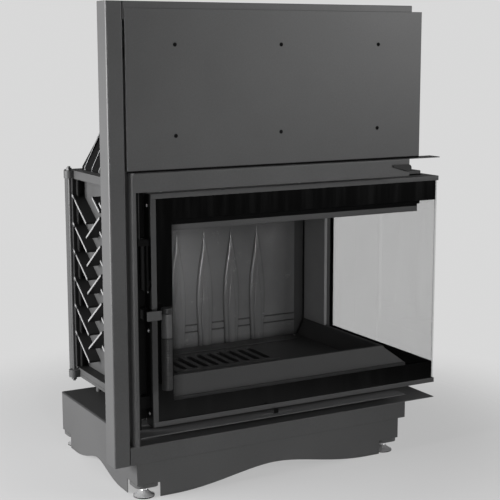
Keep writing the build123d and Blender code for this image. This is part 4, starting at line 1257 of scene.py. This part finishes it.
@dataclass
class HearthStep:
    """Low step of the hearth in front of the back liner."""

    rise: float = 3.0 * MM
    front_place: float = 0.1755
    right_gap: float = 60.0 * MM
    edge: float = 1.0 * MM

    def build(self) -> None:
        """Makes the step from the liner's foot to its front edge."""
        low, high = low_high("hearth_bed")
        liner = low_high("back_liner")[0][1]
        corner = (high[0] - self.right_gap, liner, high[2] + self.rise)
        step = slab((low[0], self.front_place, high[2]), corner)
        make_piece("hearth_step", step, "casing", CAST_HEARTH, rounding=self.edge)


@dataclass
class AirWash:
    """Deep strip under the lintel that turns the wash air down the panes: near black above as painted shade
    under the lintel, with a light lip.
    """

    lip_height: float = 14.0 * MM
    below: float = 6.0 * MM
    thickness: float = 3.0 * MM
    roll: float = 1.2 * MM
    roll_points: int = 4

    def run(self, base: float, top: float) -> Surface:
        """Profile with a rounded lower corner carried along the strip's two runs, which meet at a mitre.

        Args:
            base: height of its lower edge.
            top: height of its upper edge.

        Returns:
            The closed strip.
        """
        low, high = low_high("air_wash_strip")
        bend = np.linspace(0, math.pi / 2, self.roll_points)
        depth = np.concatenate([self.roll * (1 - np.cos(bend[::-1])), [0]])
        rise = np.concatenate([self.roll * (1 - np.sin(bend[::-1])), [top - base]])
        outline = np.column_stack([depth, base + rise])
        inner = np.column_stack([np.full(len(outline), self.thickness), outline[::-1, 1]])
        section = np.vstack([outline, inner])
        ends = [(low[0], low[1], 0, 1), (high[0], low[1], -1, 1), (high[0], high[1], -1, 0)]
        rows = [np.column_stack([x + sx * section[:, 0], y + sy * section[:, 0], section[:, 1]])
                for x, y, sx, sy in ends]
        middle = [row.mean(axis=0) + 0 * row for row in (rows[0], rows[-1])]
        return Surface.grid(np.stack([middle[0], *rows, middle[1]]), True)

    def build(self) -> None:
        """Makes the strip's upper part, near black as painted shade, and its lip."""
        low, high = low_high("air_wash_strip")
        base = low[2] - self.below
        lip = self.run(base, base + self.lip_height)
        make_piece("air_wash_lip", lip, "casing", LIP_PAINT, ("air_wash_strip",))
        shade = self.run(base + self.lip_height, high[2])
        make_piece("air_wash_back", shade, "casing", GAP_PAINT)


@dataclass
class Screws:
    """Button screws of the cover, the door and the hearth, with a hexagon recess in each head."""

    recess_flats: float = 0.496
    recess_depth: float = 0.7
    recess_taper: float = 0.92
    recess_rim: float = 0.86
    dome_fall: float = 0.85
    dome_rows: tuple[float, ...] = (0.72, 0.84, 0.94, 1.0)
    steps: int = 36
    cover_radius: float = 4.5 * MM
    door_radius: float = 4.0 * MM
    door_head: float = 0.8 * MM
    bed_radius: float = 4.0 * MM
    bed_head: float = 3.0 * MM
    bed_from_right: Pair = (70.0 * MM, 45.0 * MM)
    bed_before_liner: float = 8.0 * MM

    def head(self, radius: float, height: float) -> Surface:
        """Domed head about Z, with a hexagon sunk in its middle.

        The dome's height is the full height times the square root of 1 - dome_fall times the square of the
        radius over the outer radius.

        Args:
            radius: the head's outer radius.
            height: its height over the face.

        Returns:
            The closed head, standing on Z = 0.
        """
        recess = hexagon(radius * 2 * self.recess_flats, self.steps)
        rows = np.array(self.dome_rows)
        dome = height * np.sqrt(1 - self.dome_fall * rows**2)
        floor = height * (1 - self.recess_depth)
        radii = [0 * recess, recess * self.recess_taper, recess]
        radii += [np.full(self.steps, share * radius) for share in (*rows, 1)]
        heights = [floor, floor, height * self.recess_rim, *dome, 0, 0]
        return lathe(np.array([*radii, 0 * recess]), heights, self.steps)

    def cover(self) -> None:
        """Makes the six screws of the upper cover."""
        low, high = low_high("cover_screws")
        one = self.head(self.cover_radius, high[1] - low[1])
        heads = [one.placed((x, high[1], z), Axis.FRONT) for x, _, z in solid_middles("cover_screws")]
        make_piece("cover_button_screws", joined(heads), "casing", GAP_PAINT, ("cover_screws",))

    def door(self) -> None:
        """Makes the screws in the side and the top of the door's frame."""
        left = low_high("door_left_stile")[0][0]
        top = low_high("door_top_rail")[1][2]
        one = self.head(self.door_radius, self.door_head)
        heads = [one.placed((x, y, top)) if z > top else one.placed((left, y, z), Axis.LEFT)
                 for x, y, z in solid_middles("door_screws")]
        make_piece("door_frame_screws", joined(heads), "door", HEAD_ZINC, ("door_screws",))

    def bed(self) -> None:
        """Makes the two screws that hold the hearth bed in front of the liner."""
        high = low_high("hearth_bed")[1]
        y = low_high("back_liner")[0][1] - self.bed_before_liner
        one = self.head(self.bed_radius, self.bed_head)
        heads = [one.placed((high[0] - inset, y, high[2])) for inset in self.bed_from_right]
        make_piece("hearth_bed_screws", joined(heads), "casing", BRIGHT)

    def build(self) -> None:
        """Makes all screws."""
        self.cover()
        self.door()
        self.bed()


@dataclass
class Feet:
    """Four chrome levelling feet: a belled disc on a rubber pad, a hexagon and a threaded stem."""

    pad_height: float = 3.0 * MM
    pad_inset: float = 1.0 * MM
    pad_chamfer: float = 0.3 * MM
    disc_edge: float = 4.2 * MM
    disc_chamfers: Pair = (0.2 * MM, 0.4 * MM)
    bell_inset: float = 1.2 * MM
    bell_power: float = 1.5
    bell_points: int = 10
    cone_height: float = 14.0 * MM
    hex_flats: float = 19.0 * MM
    hex_height: float = 9.0 * MM
    hex_chamfer: float = 1.2 * MM
    hex_cut: float = 1.02
    neck_radius: float = 8.2 * MM
    stem_radius: float = 6.0 * MM
    thread_pitch: float = 1.75 * MM
    thread_depth: float = 0.7 * MM
    thread_points: int = 5
    round_steps: int = 56
    hex_steps: int = 48
    stem_steps: int = 20

    def disc(self, radius: float) -> Surface:
        """Belled disc: from rim to neck the radius falls as 1 less the height's share, to the bell's power.

        Args:
            radius: the rim's radius.

        Returns:
            The closed disc.
        """
        share = np.linspace(0, 1, self.bell_points)
        spread = radius - self.bell_inset - self.neck_radius
        bell = self.neck_radius + spread * (1 - share) ** self.bell_power
        low, high = self.disc_chamfers
        rim = [self.pad_height, self.pad_height + low, self.disc_edge - high]
        heights = np.concatenate([rim, self.disc_edge + share * self.cone_height,
                                  [self.disc_edge + self.cone_height]])
        return lathe(np.concatenate([[0, radius, radius], bell, [0]]), heights, self.round_steps)

    def hexagon(self, base: float) -> Surface:
        """Chamfered hexagon: at both ends the corners are cut back to a circle.

        Args:
            base: height of its lower face.

        Returns:
            The closed hexagon.
        """
        outline = hexagon(self.hex_flats, self.hex_steps)
        cut = np.minimum(outline, self.hex_flats / 2 * self.hex_cut)
        top = self.hex_height
        heights = base + np.array([0, 0, self.hex_chamfer, top - self.hex_chamfer, top, top])
        return lathe(np.array([0 * cut, cut, outline, outline, cut, 0 * cut]), heights, self.hex_steps)

    def stem(self, base: float, top: float) -> Surface:
        """Threaded rod: the radius dips along a helix, as a triangle wave of height and angle.

        Args:
            base: lower end.
            top: upper end.

        Returns:
            The closed rod.
        """
        heights = np.arange(base, top, self.thread_pitch / self.thread_points)
        turns = np.arange(self.stem_steps) / self.stem_steps
        wave = np.abs(((heights[:, None] / self.thread_pitch - turns[None, :]) % 1) * 2 - 1)
        radii = self.stem_radius - self.thread_depth * (1 - wave)
        end = np.zeros(self.stem_steps)
        heights = np.concatenate([[base], heights, [heights[-1]]])
        return lathe(np.vstack([end, radii, end]), heights, self.stem_steps)

    def build(self) -> None:
        """Makes each foot from its CAD node's box."""
        hex_base = self.disc_edge + self.cone_height
        pad_heights = [0, 0, self.pad_chamfer, self.pad_height, self.pad_height]
        for corner in ("front_left", "front_right", "back_left", "back_right"):
            node = f"foot_{corner}"
            place, radius, height = upright(node)
            metal = joined([
                self.disc(radius),
                self.hexagon(hex_base),
                self.stem(hex_base + self.hex_height, height),
            ])
            make_piece(f"levelling_{node}", metal.placed(place), node, CHROME, (node,))
            pad = lathe([0, radius - self.pad_inset, radius, radius, 0], pad_heights, self.round_steps)
            make_piece(f"{node}_pad", pad.placed(place), node, RUBBER)


@dataclass
class Handle:
    """Upright handle: dark cap, plain sleeve and a ribbed dark grip on one bar, held by a bent bracket."""

    sleeve_bottom: float = 123.0 * MM
    sleeve_top: float = 180.5 * MM
    sleeve_inset: float = 0.4 * MM
    rib_pitch: float = 6.0 * MM
    rib_depth: float = 0.5 * MM
    rib_points: int = 6
    crown: float = 2.5 * MM
    crown_points: int = 6
    round_steps: int = 40
    bracket_left: float = 9.0 * MM
    bracket_below: float = 17.0 * MM
    bracket_height: float = 21.4 * MM
    bracket_thickness: float = 4.0 * MM
    arm_depth: float = 6.0 * MM
    arm_edge: float = 0.8 * MM

    def section(self, base: float, top: float, radius: float, ribs: float = 0.0) -> Surface:
        """Turned bar with rounded ends, its radius dipping by ribs as a cosine of the height.

        Args:
            base: lower end.
            top: upper end.
            radius: outer radius.
            ribs: depth of the ribs, or 0 for a plain bar.

        Returns:
            The closed bar.
        """
        bend = self.crown * (1 - np.sin(np.linspace(0, math.pi / 2, self.crown_points)))
        body = np.arange(base + self.crown, top - self.crown, self.rib_pitch / self.rib_points)
        heights = np.concatenate([(base + bend)[::-1], body, top - bend])
        near_end = np.minimum(heights - base, top - heights)
        sunk = np.arcsin(np.clip(1 - near_end / self.crown, 0, 1))
        edge = radius - self.crown * (1 - np.cos(sunk))
        edge = edge - ribs * (1 - np.cos(FULL_TURN * heights / self.rib_pitch)) / 2
        heights = np.concatenate([[base], heights, [top]])
        return lathe(np.concatenate([[0], edge, [0]]), heights, self.round_steps)

    def build(self) -> None:
        """Makes grip, sleeve and cap one on top of the other in the bar's CAD box, and the bracket."""
        place, radius, height = upright("handle_bar")
        grip = self.section(0, self.sleeve_bottom, radius, self.rib_depth)
        sleeve = self.section(self.sleeve_bottom, self.sleeve_top, radius - self.sleeve_inset)
        cap = self.section(self.sleeve_top, height, radius)
        make_piece("handle_grip", grip.placed(place), "door", GRIP, ("handle_bar",))
        make_piece("handle_sleeve", sleeve.placed(place), "door", DOOR_PAINT)
        make_piece("handle_cap", cap.placed(place), "door", GRIP)
        self.bracket()

    def bracket(self) -> None:
        """Makes the bent bracket: a front arm to the bar, a leg beside the door and a foot on the stile."""
        low, high = low_high("handle_bracket")
        stile = low_high("door_left_stile")[0][0]
        left = low[0] - self.bracket_left
        inner = left + self.bracket_thickness
        base = high[2] - self.bracket_below
        top = base + self.bracket_height
        arm_back = low[1] + self.arm_depth
        arm = slab((left, low[1], base), (high[0], arm_back, top))
        leg = slab((left, arm_back, base), (inner, high[1], top))
        foot = slab((inner, high[1] - self.bracket_thickness, base), (stile, high[1], top))
        make_piece("handle_arm", arm, "door", DOOR_PAINT, ("handle_bracket",),
                   rounding=self.arm_edge)
        make_piece("handle_leg", leg + foot, "door", GAP_PAINT)


@dataclass
class LiftDoor:
    """Frame, panes and the black print on them, with the dotted fade on the left."""

    strip: float = 12.0 * MM
    stile: float = 14.0 * MM
    border: float = 46.0 * MM
    top_border: float = 50.0 * MM
    left_border: float = 40.5 * MM
    rear_border: float = 14.0 * MM
    print_gap: float = 0.12 * MM
    print_thickness: float = 0.12 * MM
    dot_pitch: float = 4.2 * MM
    dot_columns: int = 11
    dot_sides: int = 8
    dot_first: float = 0.6
    dot_largest: float = 0.56
    dot_fall: float = 0.38
    frame_edge: float = 0.8 * MM
    rope_radius: float = 4.2 * MM
    rope_sunk: float = 0.56
    rope_pressed: float = 0.55
    rope_step: float = 3.0 * MM
    rope_sides: int = 12
    plait_lay: float = 16.0 * MM
    plait_yarns: int = 3
    plait_depth: float = 0.12
    plait_crease: float = 80.0

    def build(self) -> None:
        """Dresses the frame and makes the print, the dots and the rope seal."""
        dress(DOOR_PAINT, self.frame_edge, "door_bottom_rail", "door_top_rail", "door_rear_stile")
        dress(STILE_PAINT, self.frame_edge, "door_left_stile")
        dress(GLASS, 0, "front_glass", "side_glass")
        self.front_print()
        self.side_print()
        self.dots()
        self.rope()

    def window(self) -> Triple:
        """Edges of the clear field that the print leaves open.

        Returns:
            Its left, its bottom and its top.
        """
        low = low_high("door_left_stile")[0]
        high = low_high("door_top_rail")[1]
        left = low[0] + self.stile + self.left_border
        return left, low[2] + self.strip + self.border, high[2] - self.strip - self.top_border

    def front_print(self) -> None:
        """Border on the front pane: wide at the left, top and bottom, open at the glass corner."""
        low, high = low_high("front_glass")
        left, bottom, top = self.window()
        y1 = low[1] - self.print_gap
        y0 = y1 - self.print_thickness
        parts = [
            slab((low[0], y0, low[2]), (high[0], y1, bottom)),
            slab((low[0], y0, top), (high[0], y1, high[2])),
            slab((low[0], y0, bottom), (left, y1, top)),
        ]
        make_piece("front_pane_print", joined(parts), "door", PRINT)

    def side_print(self) -> None:
        """Border on the back of the side pane: top, bottom and a narrow one at the rear stile."""
        low, high = low_high("side_glass")
        _, bottom, top = self.window()
        x1 = low[0] - self.print_gap
        x0 = x1 - self.print_thickness
        parts = [
            slab((x0, low[1], low[2]), (x1, high[1], bottom)),
            slab((x0, low[1], top), (x1, high[1], high[2])),
            slab((x0, high[1] - self.stile - self.rear_border, bottom), (x1, high[1], top)),
        ]
        make_piece("side_pane_print", joined(parts), "door", PRINT)

    def dots(self) -> None:
        """Staggered print dots beside the left border: eight-sided, smaller from column to column.

        A dot is four loops about its middle: a point, the rim, the rim again one print thickness further in,
        and a point. Its radius falls evenly with the column's number.
        """
        left, bottom, top = self.window()
        y0 = low_high("front_glass")[0][1] - self.print_gap - self.print_thickness
        y1 = y0 + self.print_thickness
        half = self.dot_pitch / 2
        rows = np.arange(int((top - bottom) / self.dot_pitch))
        column, row = (number.reshape(-1, 1) for number in np.meshgrid(np.arange(self.dot_columns), rows))
        middle_x = left + (column + self.dot_first) * half
        middle_z = bottom + (row + 0.5 + 0.5 * (column % 2)) * self.dot_pitch
        radius = half * (self.dot_largest - self.dot_fall * column / self.dot_columns)
        turn = round_angles(self.dot_sides, 0.5)
        loops = []
        for share, y in ((0, y0), (1, y0), (1, y1), (0, y1)):
            x = middle_x + share * radius * np.cos(turn)
            z = middle_z + share * radius * np.sin(turn)
            loops.append(np.stack([x, np.full_like(x, y), z], axis=-1))
        points = np.stack(loops, axis=1)
        one = Surface.grid(points[0], True)
        first = np.arange(len(points)) * len(one.points)
        quads = (one.quads[None, :, :] + first[:, None, None]).reshape(-1, 4)
        dots = Surface(points.reshape(-1, 3), quads)
        make_piece("front_pane_print_dots", dots, "door", PRINT)

    def rope(self) -> None:
        """Makes the plaited seal along the CAD seal's four runs."""
        low, high = low_high("door_seal")
        inset = self.rope_radius
        left, rear, bottom, top = low[0] + inset, high[1] - inset, low[2] + inset, high[2] - inset
        front = low[1] + inset * self.rope_sunk
        side = low_high("door_rear_stile")[0][0] - inset * self.rope_sunk
        runs = [self.plait([(left, front, level), (side, front, level), (side, rear, level)], (0, 0, 1))
                for level in (bottom, top)]
        for x, y in ((left, front), (side, rear)):
            runs.append(self.plait([(x, y, bottom), (x, y, top)], (0, 1, 0)))
        make_piece("rope_seal", joined(runs), "door", FIBRE, ("door_seal",),
                   crease=self.plait_crease)

    def plait(self, corners: list, side: Triple) -> Surface:
        """Plaited rope through corner points, pressed to the depth of its groove.

        Its radius is 1 + plait_depth times the product of the cosines of plait_yarns times the angle, less
        and plus the twist, times the pressed radius.

        Args:
            corners: the rope's corner points.
            side: normal of the plane they lie in.

        Returns:
            The closed rope.
        """
        corners = np.array(corners)
        runs = []
        for start, end in zip(corners[:-1], corners[1:]):
            count = max(2, int(np.linalg.norm(end - start) / self.rope_step))
            runs.append(start + (end - start) * np.linspace(0, 1, count, endpoint=False)[:, None])
        path = np.vstack([*runs, corners[-1:]])
        angle = self.plait_yarns * round_angles(self.rope_sides)[None, :]
        twist = FULL_TURN * run_length(path)[:, None] / self.plait_lay
        crossing = np.cos(angle - twist) * np.cos(angle + twist)
        return tube(path, side, self.rope_radius * self.rope_pressed * (1 + self.plait_depth * crossing))


@dataclass
class LiftGear:
    """Guide channels, rollers, sheaves, wire ropes and counterweights."""

    gear_edge: float = 0.5 * MM
    weight_edge: float = 1.2 * MM
    rope_radius: float = 1.5 * MM
    rope_steps: int = 18
    rope_step: float = 1.5 * MM
    rope_strands: int = 6
    rope_lay: float = 9.0 * MM
    strand_depth: float = 0.2
    sheave_groove: float = 3.0 * MM
    bend_points: int = 64
    door_travel: float = 370.0 * MM
    shade_sheet_thickness: float = 1.5 * MM
    shade_sheet_gap: float = 1.0 * MM
    shade_sheet_left: float = 30.0 * MM
    shade_sheet_right: float = 10.0 * MM

    def shade_sheet(self) -> None:
        """Makes a near-black sheet between the left channel and the casting behind it: painted shade in the
        channel.
        """
        low, high = low_high("firebox_left_wall")
        back = low[1] - self.shade_sheet_gap
        left = low_high("guide_rails")[0][0] - self.shade_sheet_left
        right = low_high("door_left_stile")[0][0] + self.shade_sheet_right
        sheet = slab((left, back - self.shade_sheet_thickness, low[2]), (right, back, high[2]))
        make_piece("channel_shade_sheet", sheet, "casing", GAP_PAINT)

    def dress(self) -> None:
        """Dresses the gear and strands its wire ropes."""
        # Rails and carriages near black: painted shade of the channel.
        dress(GAP_PAINT, self.gear_edge, "guide_rails", "roller_carriages")
        dress(ZINC, self.gear_edge, "sheave_hangers")
        dress(BRIGHT, 0, "left_sheave", "right_sheave", "left_roller", "right_roller")
        dress(RAW_IRON, self.weight_edge, "counterweights")
        ropes = self.straight_ropes("door_side_cables", "casing", "door_wire_ropes")
        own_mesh(ropes)
        self.straight_ropes("weight_side_cables", "counterweights", "weight_wire_ropes")
        self.bent_ropes()
        self.shade_sheet()

    def laid(self, path: np.ndarray, side: Triple) -> Surface:
        """Laid wire rope along a path in one plane.

        Its radius is rope_radius times 1 - strand_depth + strand_depth times the absolute cosine of half the
        number of strands times the angle less the twist.

        Args:
            path: rows of three coordinates.
            side: normal of the path's plane.

        Returns:
            The closed rope.
        """
        twist = FULL_TURN * run_length(path)[:, None] / self.rope_lay
        ridge = np.abs(np.cos(self.rope_strands / 2 * (round_angles(self.rope_steps)[None, :] - twist)))
        return tube(path, side, self.rope_radius * (1 - self.strand_depth + self.strand_depth * ridge))

    def straight_ropes(self, node: str, body: str, name: str) -> bpy.types.Object:
        """Upright ropes through the middles of a node's solids.

        Args:
            node: the CAD node.
            body: the body that they ride on.
            name: the piece's name.

        Returns:
            The piece.
        """
        low, high = low_high(node)
        level = np.minimum(np.arange(low[2], high[2] + MM, self.rope_step), high[2])[:-1]
        ropes = [self.laid(np.column_stack([0 * level + x, 0 * level + y, level]), (1, 0, 0))
                 for x, y, _ in solid_middles(node)]
        return make_piece(name, joined(ropes), body, WIRE, (node,))

    def bent_ropes(self) -> None:
        """Half-turns over the two sheaves: points at the groove's radius round each sheave's axis."""
        turn = np.linspace(0, math.pi, self.bend_points)
        ropes = []
        for sheave, run, side in (("left_sheave", 0, (0, 1, 0)), ("right_sheave", 1, (1, 0, 0))):
            low, high = low_high(sheave)
            radius = (high[2] - low[2]) / 2 - self.sheave_groove
            path = np.tile((low + high) / 2, (len(turn), 1))
            path[:, run] += radius * np.cos(turn)
            path[:, 2] += radius * np.sin(turn)
            ropes.append(self.laid(path, side))
        make_piece("sheave_wire_ropes", joined(ropes), "casing", WIRE, ("sheave_cable_bends",))


@dataclass(frozen=True)
class Lamp:
    """Soft rectangular lamp: its middle, the point it faces, its width and height, its power and its beam."""

    name: str
    place: Triple
    aim: Triple
    size: Pair
    power: float
    beam: float = 180.0

    def build(self) -> None:
        """Adds the lamp to the scene."""
        data = bpy.data.lights.new(self.name, "AREA")
        data.shape = "RECTANGLE"
        data.size, data.size_y = self.size
        data.energy = self.power
        data.spread = math.radians(self.beam)
        facing = (Vector(self.aim) - Vector(self.place)).to_track_quat("-Z", "Y").to_matrix().to_4x4()
        linked(self.name, data).matrix_world = Matrix.Translation(self.place) @ facing


LAMPS = (
    Lamp("key_panel", (-2.8, 0.1, 0.85), (-0.4, 0.0, 0.7), (1.4, 1.1), 131.0),
    Lamp("right_panel", (2.7, -3.3, 1.55), (0.1, -0.2, 0.9), (1.3, 1.0), 56.5),
    Lamp("slim_panel", (-0.95, -3.3, 0.75), (-0.1, 0.2, 0.4), (0.35, 1.4), 1.95, 40.0),
)


@dataclass
class Studio:
    """Camera, floor, lamps and the pale surroundings."""

    camera_place: Triple = (-1.4667, -2.76955, 1.0312)
    yaw: float = 28.814
    pitch: float = 9.455
    roll: float = -0.116
    lens: float = 87.36
    sensor: float = 36.0
    nearest: float = 0.05
    backdrop: Colour = neutral(0.69)
    ambient: Colour = neutral(0.06)
    room: Pair = (0.03, 0.95)
    ceiling_from: Pair = (0.66, 0.9)
    behind_from: Pair = (-0.35, 0.15)
    behind_up_to: Pair = (0.04, 0.16)
    floor_radius: float = 1.3
    floor_steps: int = 64
    floor_rings: int = 12
    floor_fade: Pair = (0.55, 1.2)
    floor_shade: float = 0.62
    floor_spread: Pair = (0.985, 1.015)
    floor_drift: float = 0.6
    floor_bounce: Colour = neutral(0.12)
    floor_glow: float = 0.6

    def build(self) -> None:
        """Sets up the view, the floor, the lamps and the world."""
        bpy.context.scene.view_settings.view_transform = "Standard"
        self.camera()
        self.floor()
        for lamp in LAMPS:
            lamp.build()
        self.world()

    def camera(self) -> None:
        """Camera at the photograph's place, angle and field of view."""
        data = bpy.data.cameras.new("camera")
        data.sensor_width = self.sensor
        data.lens = self.lens
        data.clip_start = self.nearest
        camera = linked("camera", data)
        turned = Matrix.Rotation(-math.radians(self.yaw), 4, "Z")
        tilted = Matrix.Rotation(math.radians(90 - self.pitch), 4, "X")
        rolled = Matrix.Rotation(math.radians(self.roll), 4, "Z")
        camera.matrix_world = Matrix.Translation(self.camera_place) @ turned @ tilted @ rolled
        bpy.context.scene.camera = camera

    def floor(self) -> None:
        """Round pale floor that fades into the surroundings: rings of points round the middle."""
        turn = round_angles(self.floor_steps)
        rings = np.linspace(0, self.floor_radius, self.floor_rings)[:, None]
        points = np.stack([rings * np.cos(turn), rings * np.sin(turn), 0 * rings + 0 * turn], axis=-1)
        mesh = raw_mesh("floor", Surface.grid(points, True))
        mesh.materials.append(self.floor_material())
        linked("floor", mesh)

    def floor_material(self) -> bpy.types.Material:
        """Pale ground that glows a little where it is looked at, and gives the object only a faint bounce.

        Returns:
            The material, clear past the fade.
        """
        material = bpy.data.materials.new("pale_floor")
        recipe = Recipe(material)
        x, y, _ = recipe.axes()
        far = ((x * x + y * y) ** 0.5).step(*self.floor_fade)
        drift = recipe.cloud(self.floor_drift, 2)
        rays = ("Is Camera Ray", "Is Glossy Ray", "Is Transmission Ray")
        camera, glossy, through = recipe.several("ShaderNodeLightPath", rays)
        seen = camera + glossy + through
        pale = recipe.grey(self.floor_shade, self.floor_spread, drift)
        colour = recipe.blend(self.floor_bounce, pale, seen)
        ground = recipe.add("ShaderNodeBsdfDiffuse", {"Color": colour})
        glow = recipe.add("ShaderNodeEmission", {"Color": self.backdrop})
        lit = recipe.add("ShaderNodeMixShader", {0: seen * self.floor_glow, 1: ground, 2: glow})
        clear = recipe.add("ShaderNodeBsdfTransparent")
        recipe.show(recipe.add("ShaderNodeMixShader", {0: far, 1: lit, 2: clear}))
        return material

    def world(self) -> None:
        """Pale backdrop for camera and glass; in mirrors a dark room, pale low behind and at the ceiling."""
        world = bpy.data.worlds.new("studio")
        bpy.context.scene.world = world
        recipe = Recipe(world)
        rays = ("Is Camera Ray", "Is Transmission Ray", "Is Glossy Ray")
        camera, through, mirrored = recipe.several("ShaderNodeLightPath", rays)
        _, y, z = recipe.axes("Generated")
        behind = y.step(*self.behind_from) * (1 - z.step(*self.behind_up_to))
        room = recipe.grey(1, self.room, z.step(*self.ceiling_from))
        lit = recipe.blend(self.ambient, recipe.blend(room, self.backdrop, behind), mirrored)
        colour = recipe.blend(lit, self.backdrop, camera + through)
        recipe.show(recipe.add("ShaderNodeBackground", {"Color": colour}), "ShaderNodeOutputWorld")


def main() -> None:
    """Builds the studio and dresses every sub-assembly."""
    logging.basicConfig(level=logging.INFO, format="%(message)s")
    Studio().build()
    PaintedSteel().dress()
    Castings().dress()
    BackLiner().build()
    HearthStep().build()
    AirWash().build()
    Screws().build()
    Feet().build()
    Handle().build()
    LiftDoor().build()
    LiftGear().dress()


if __name__ == "__main__":
    main()
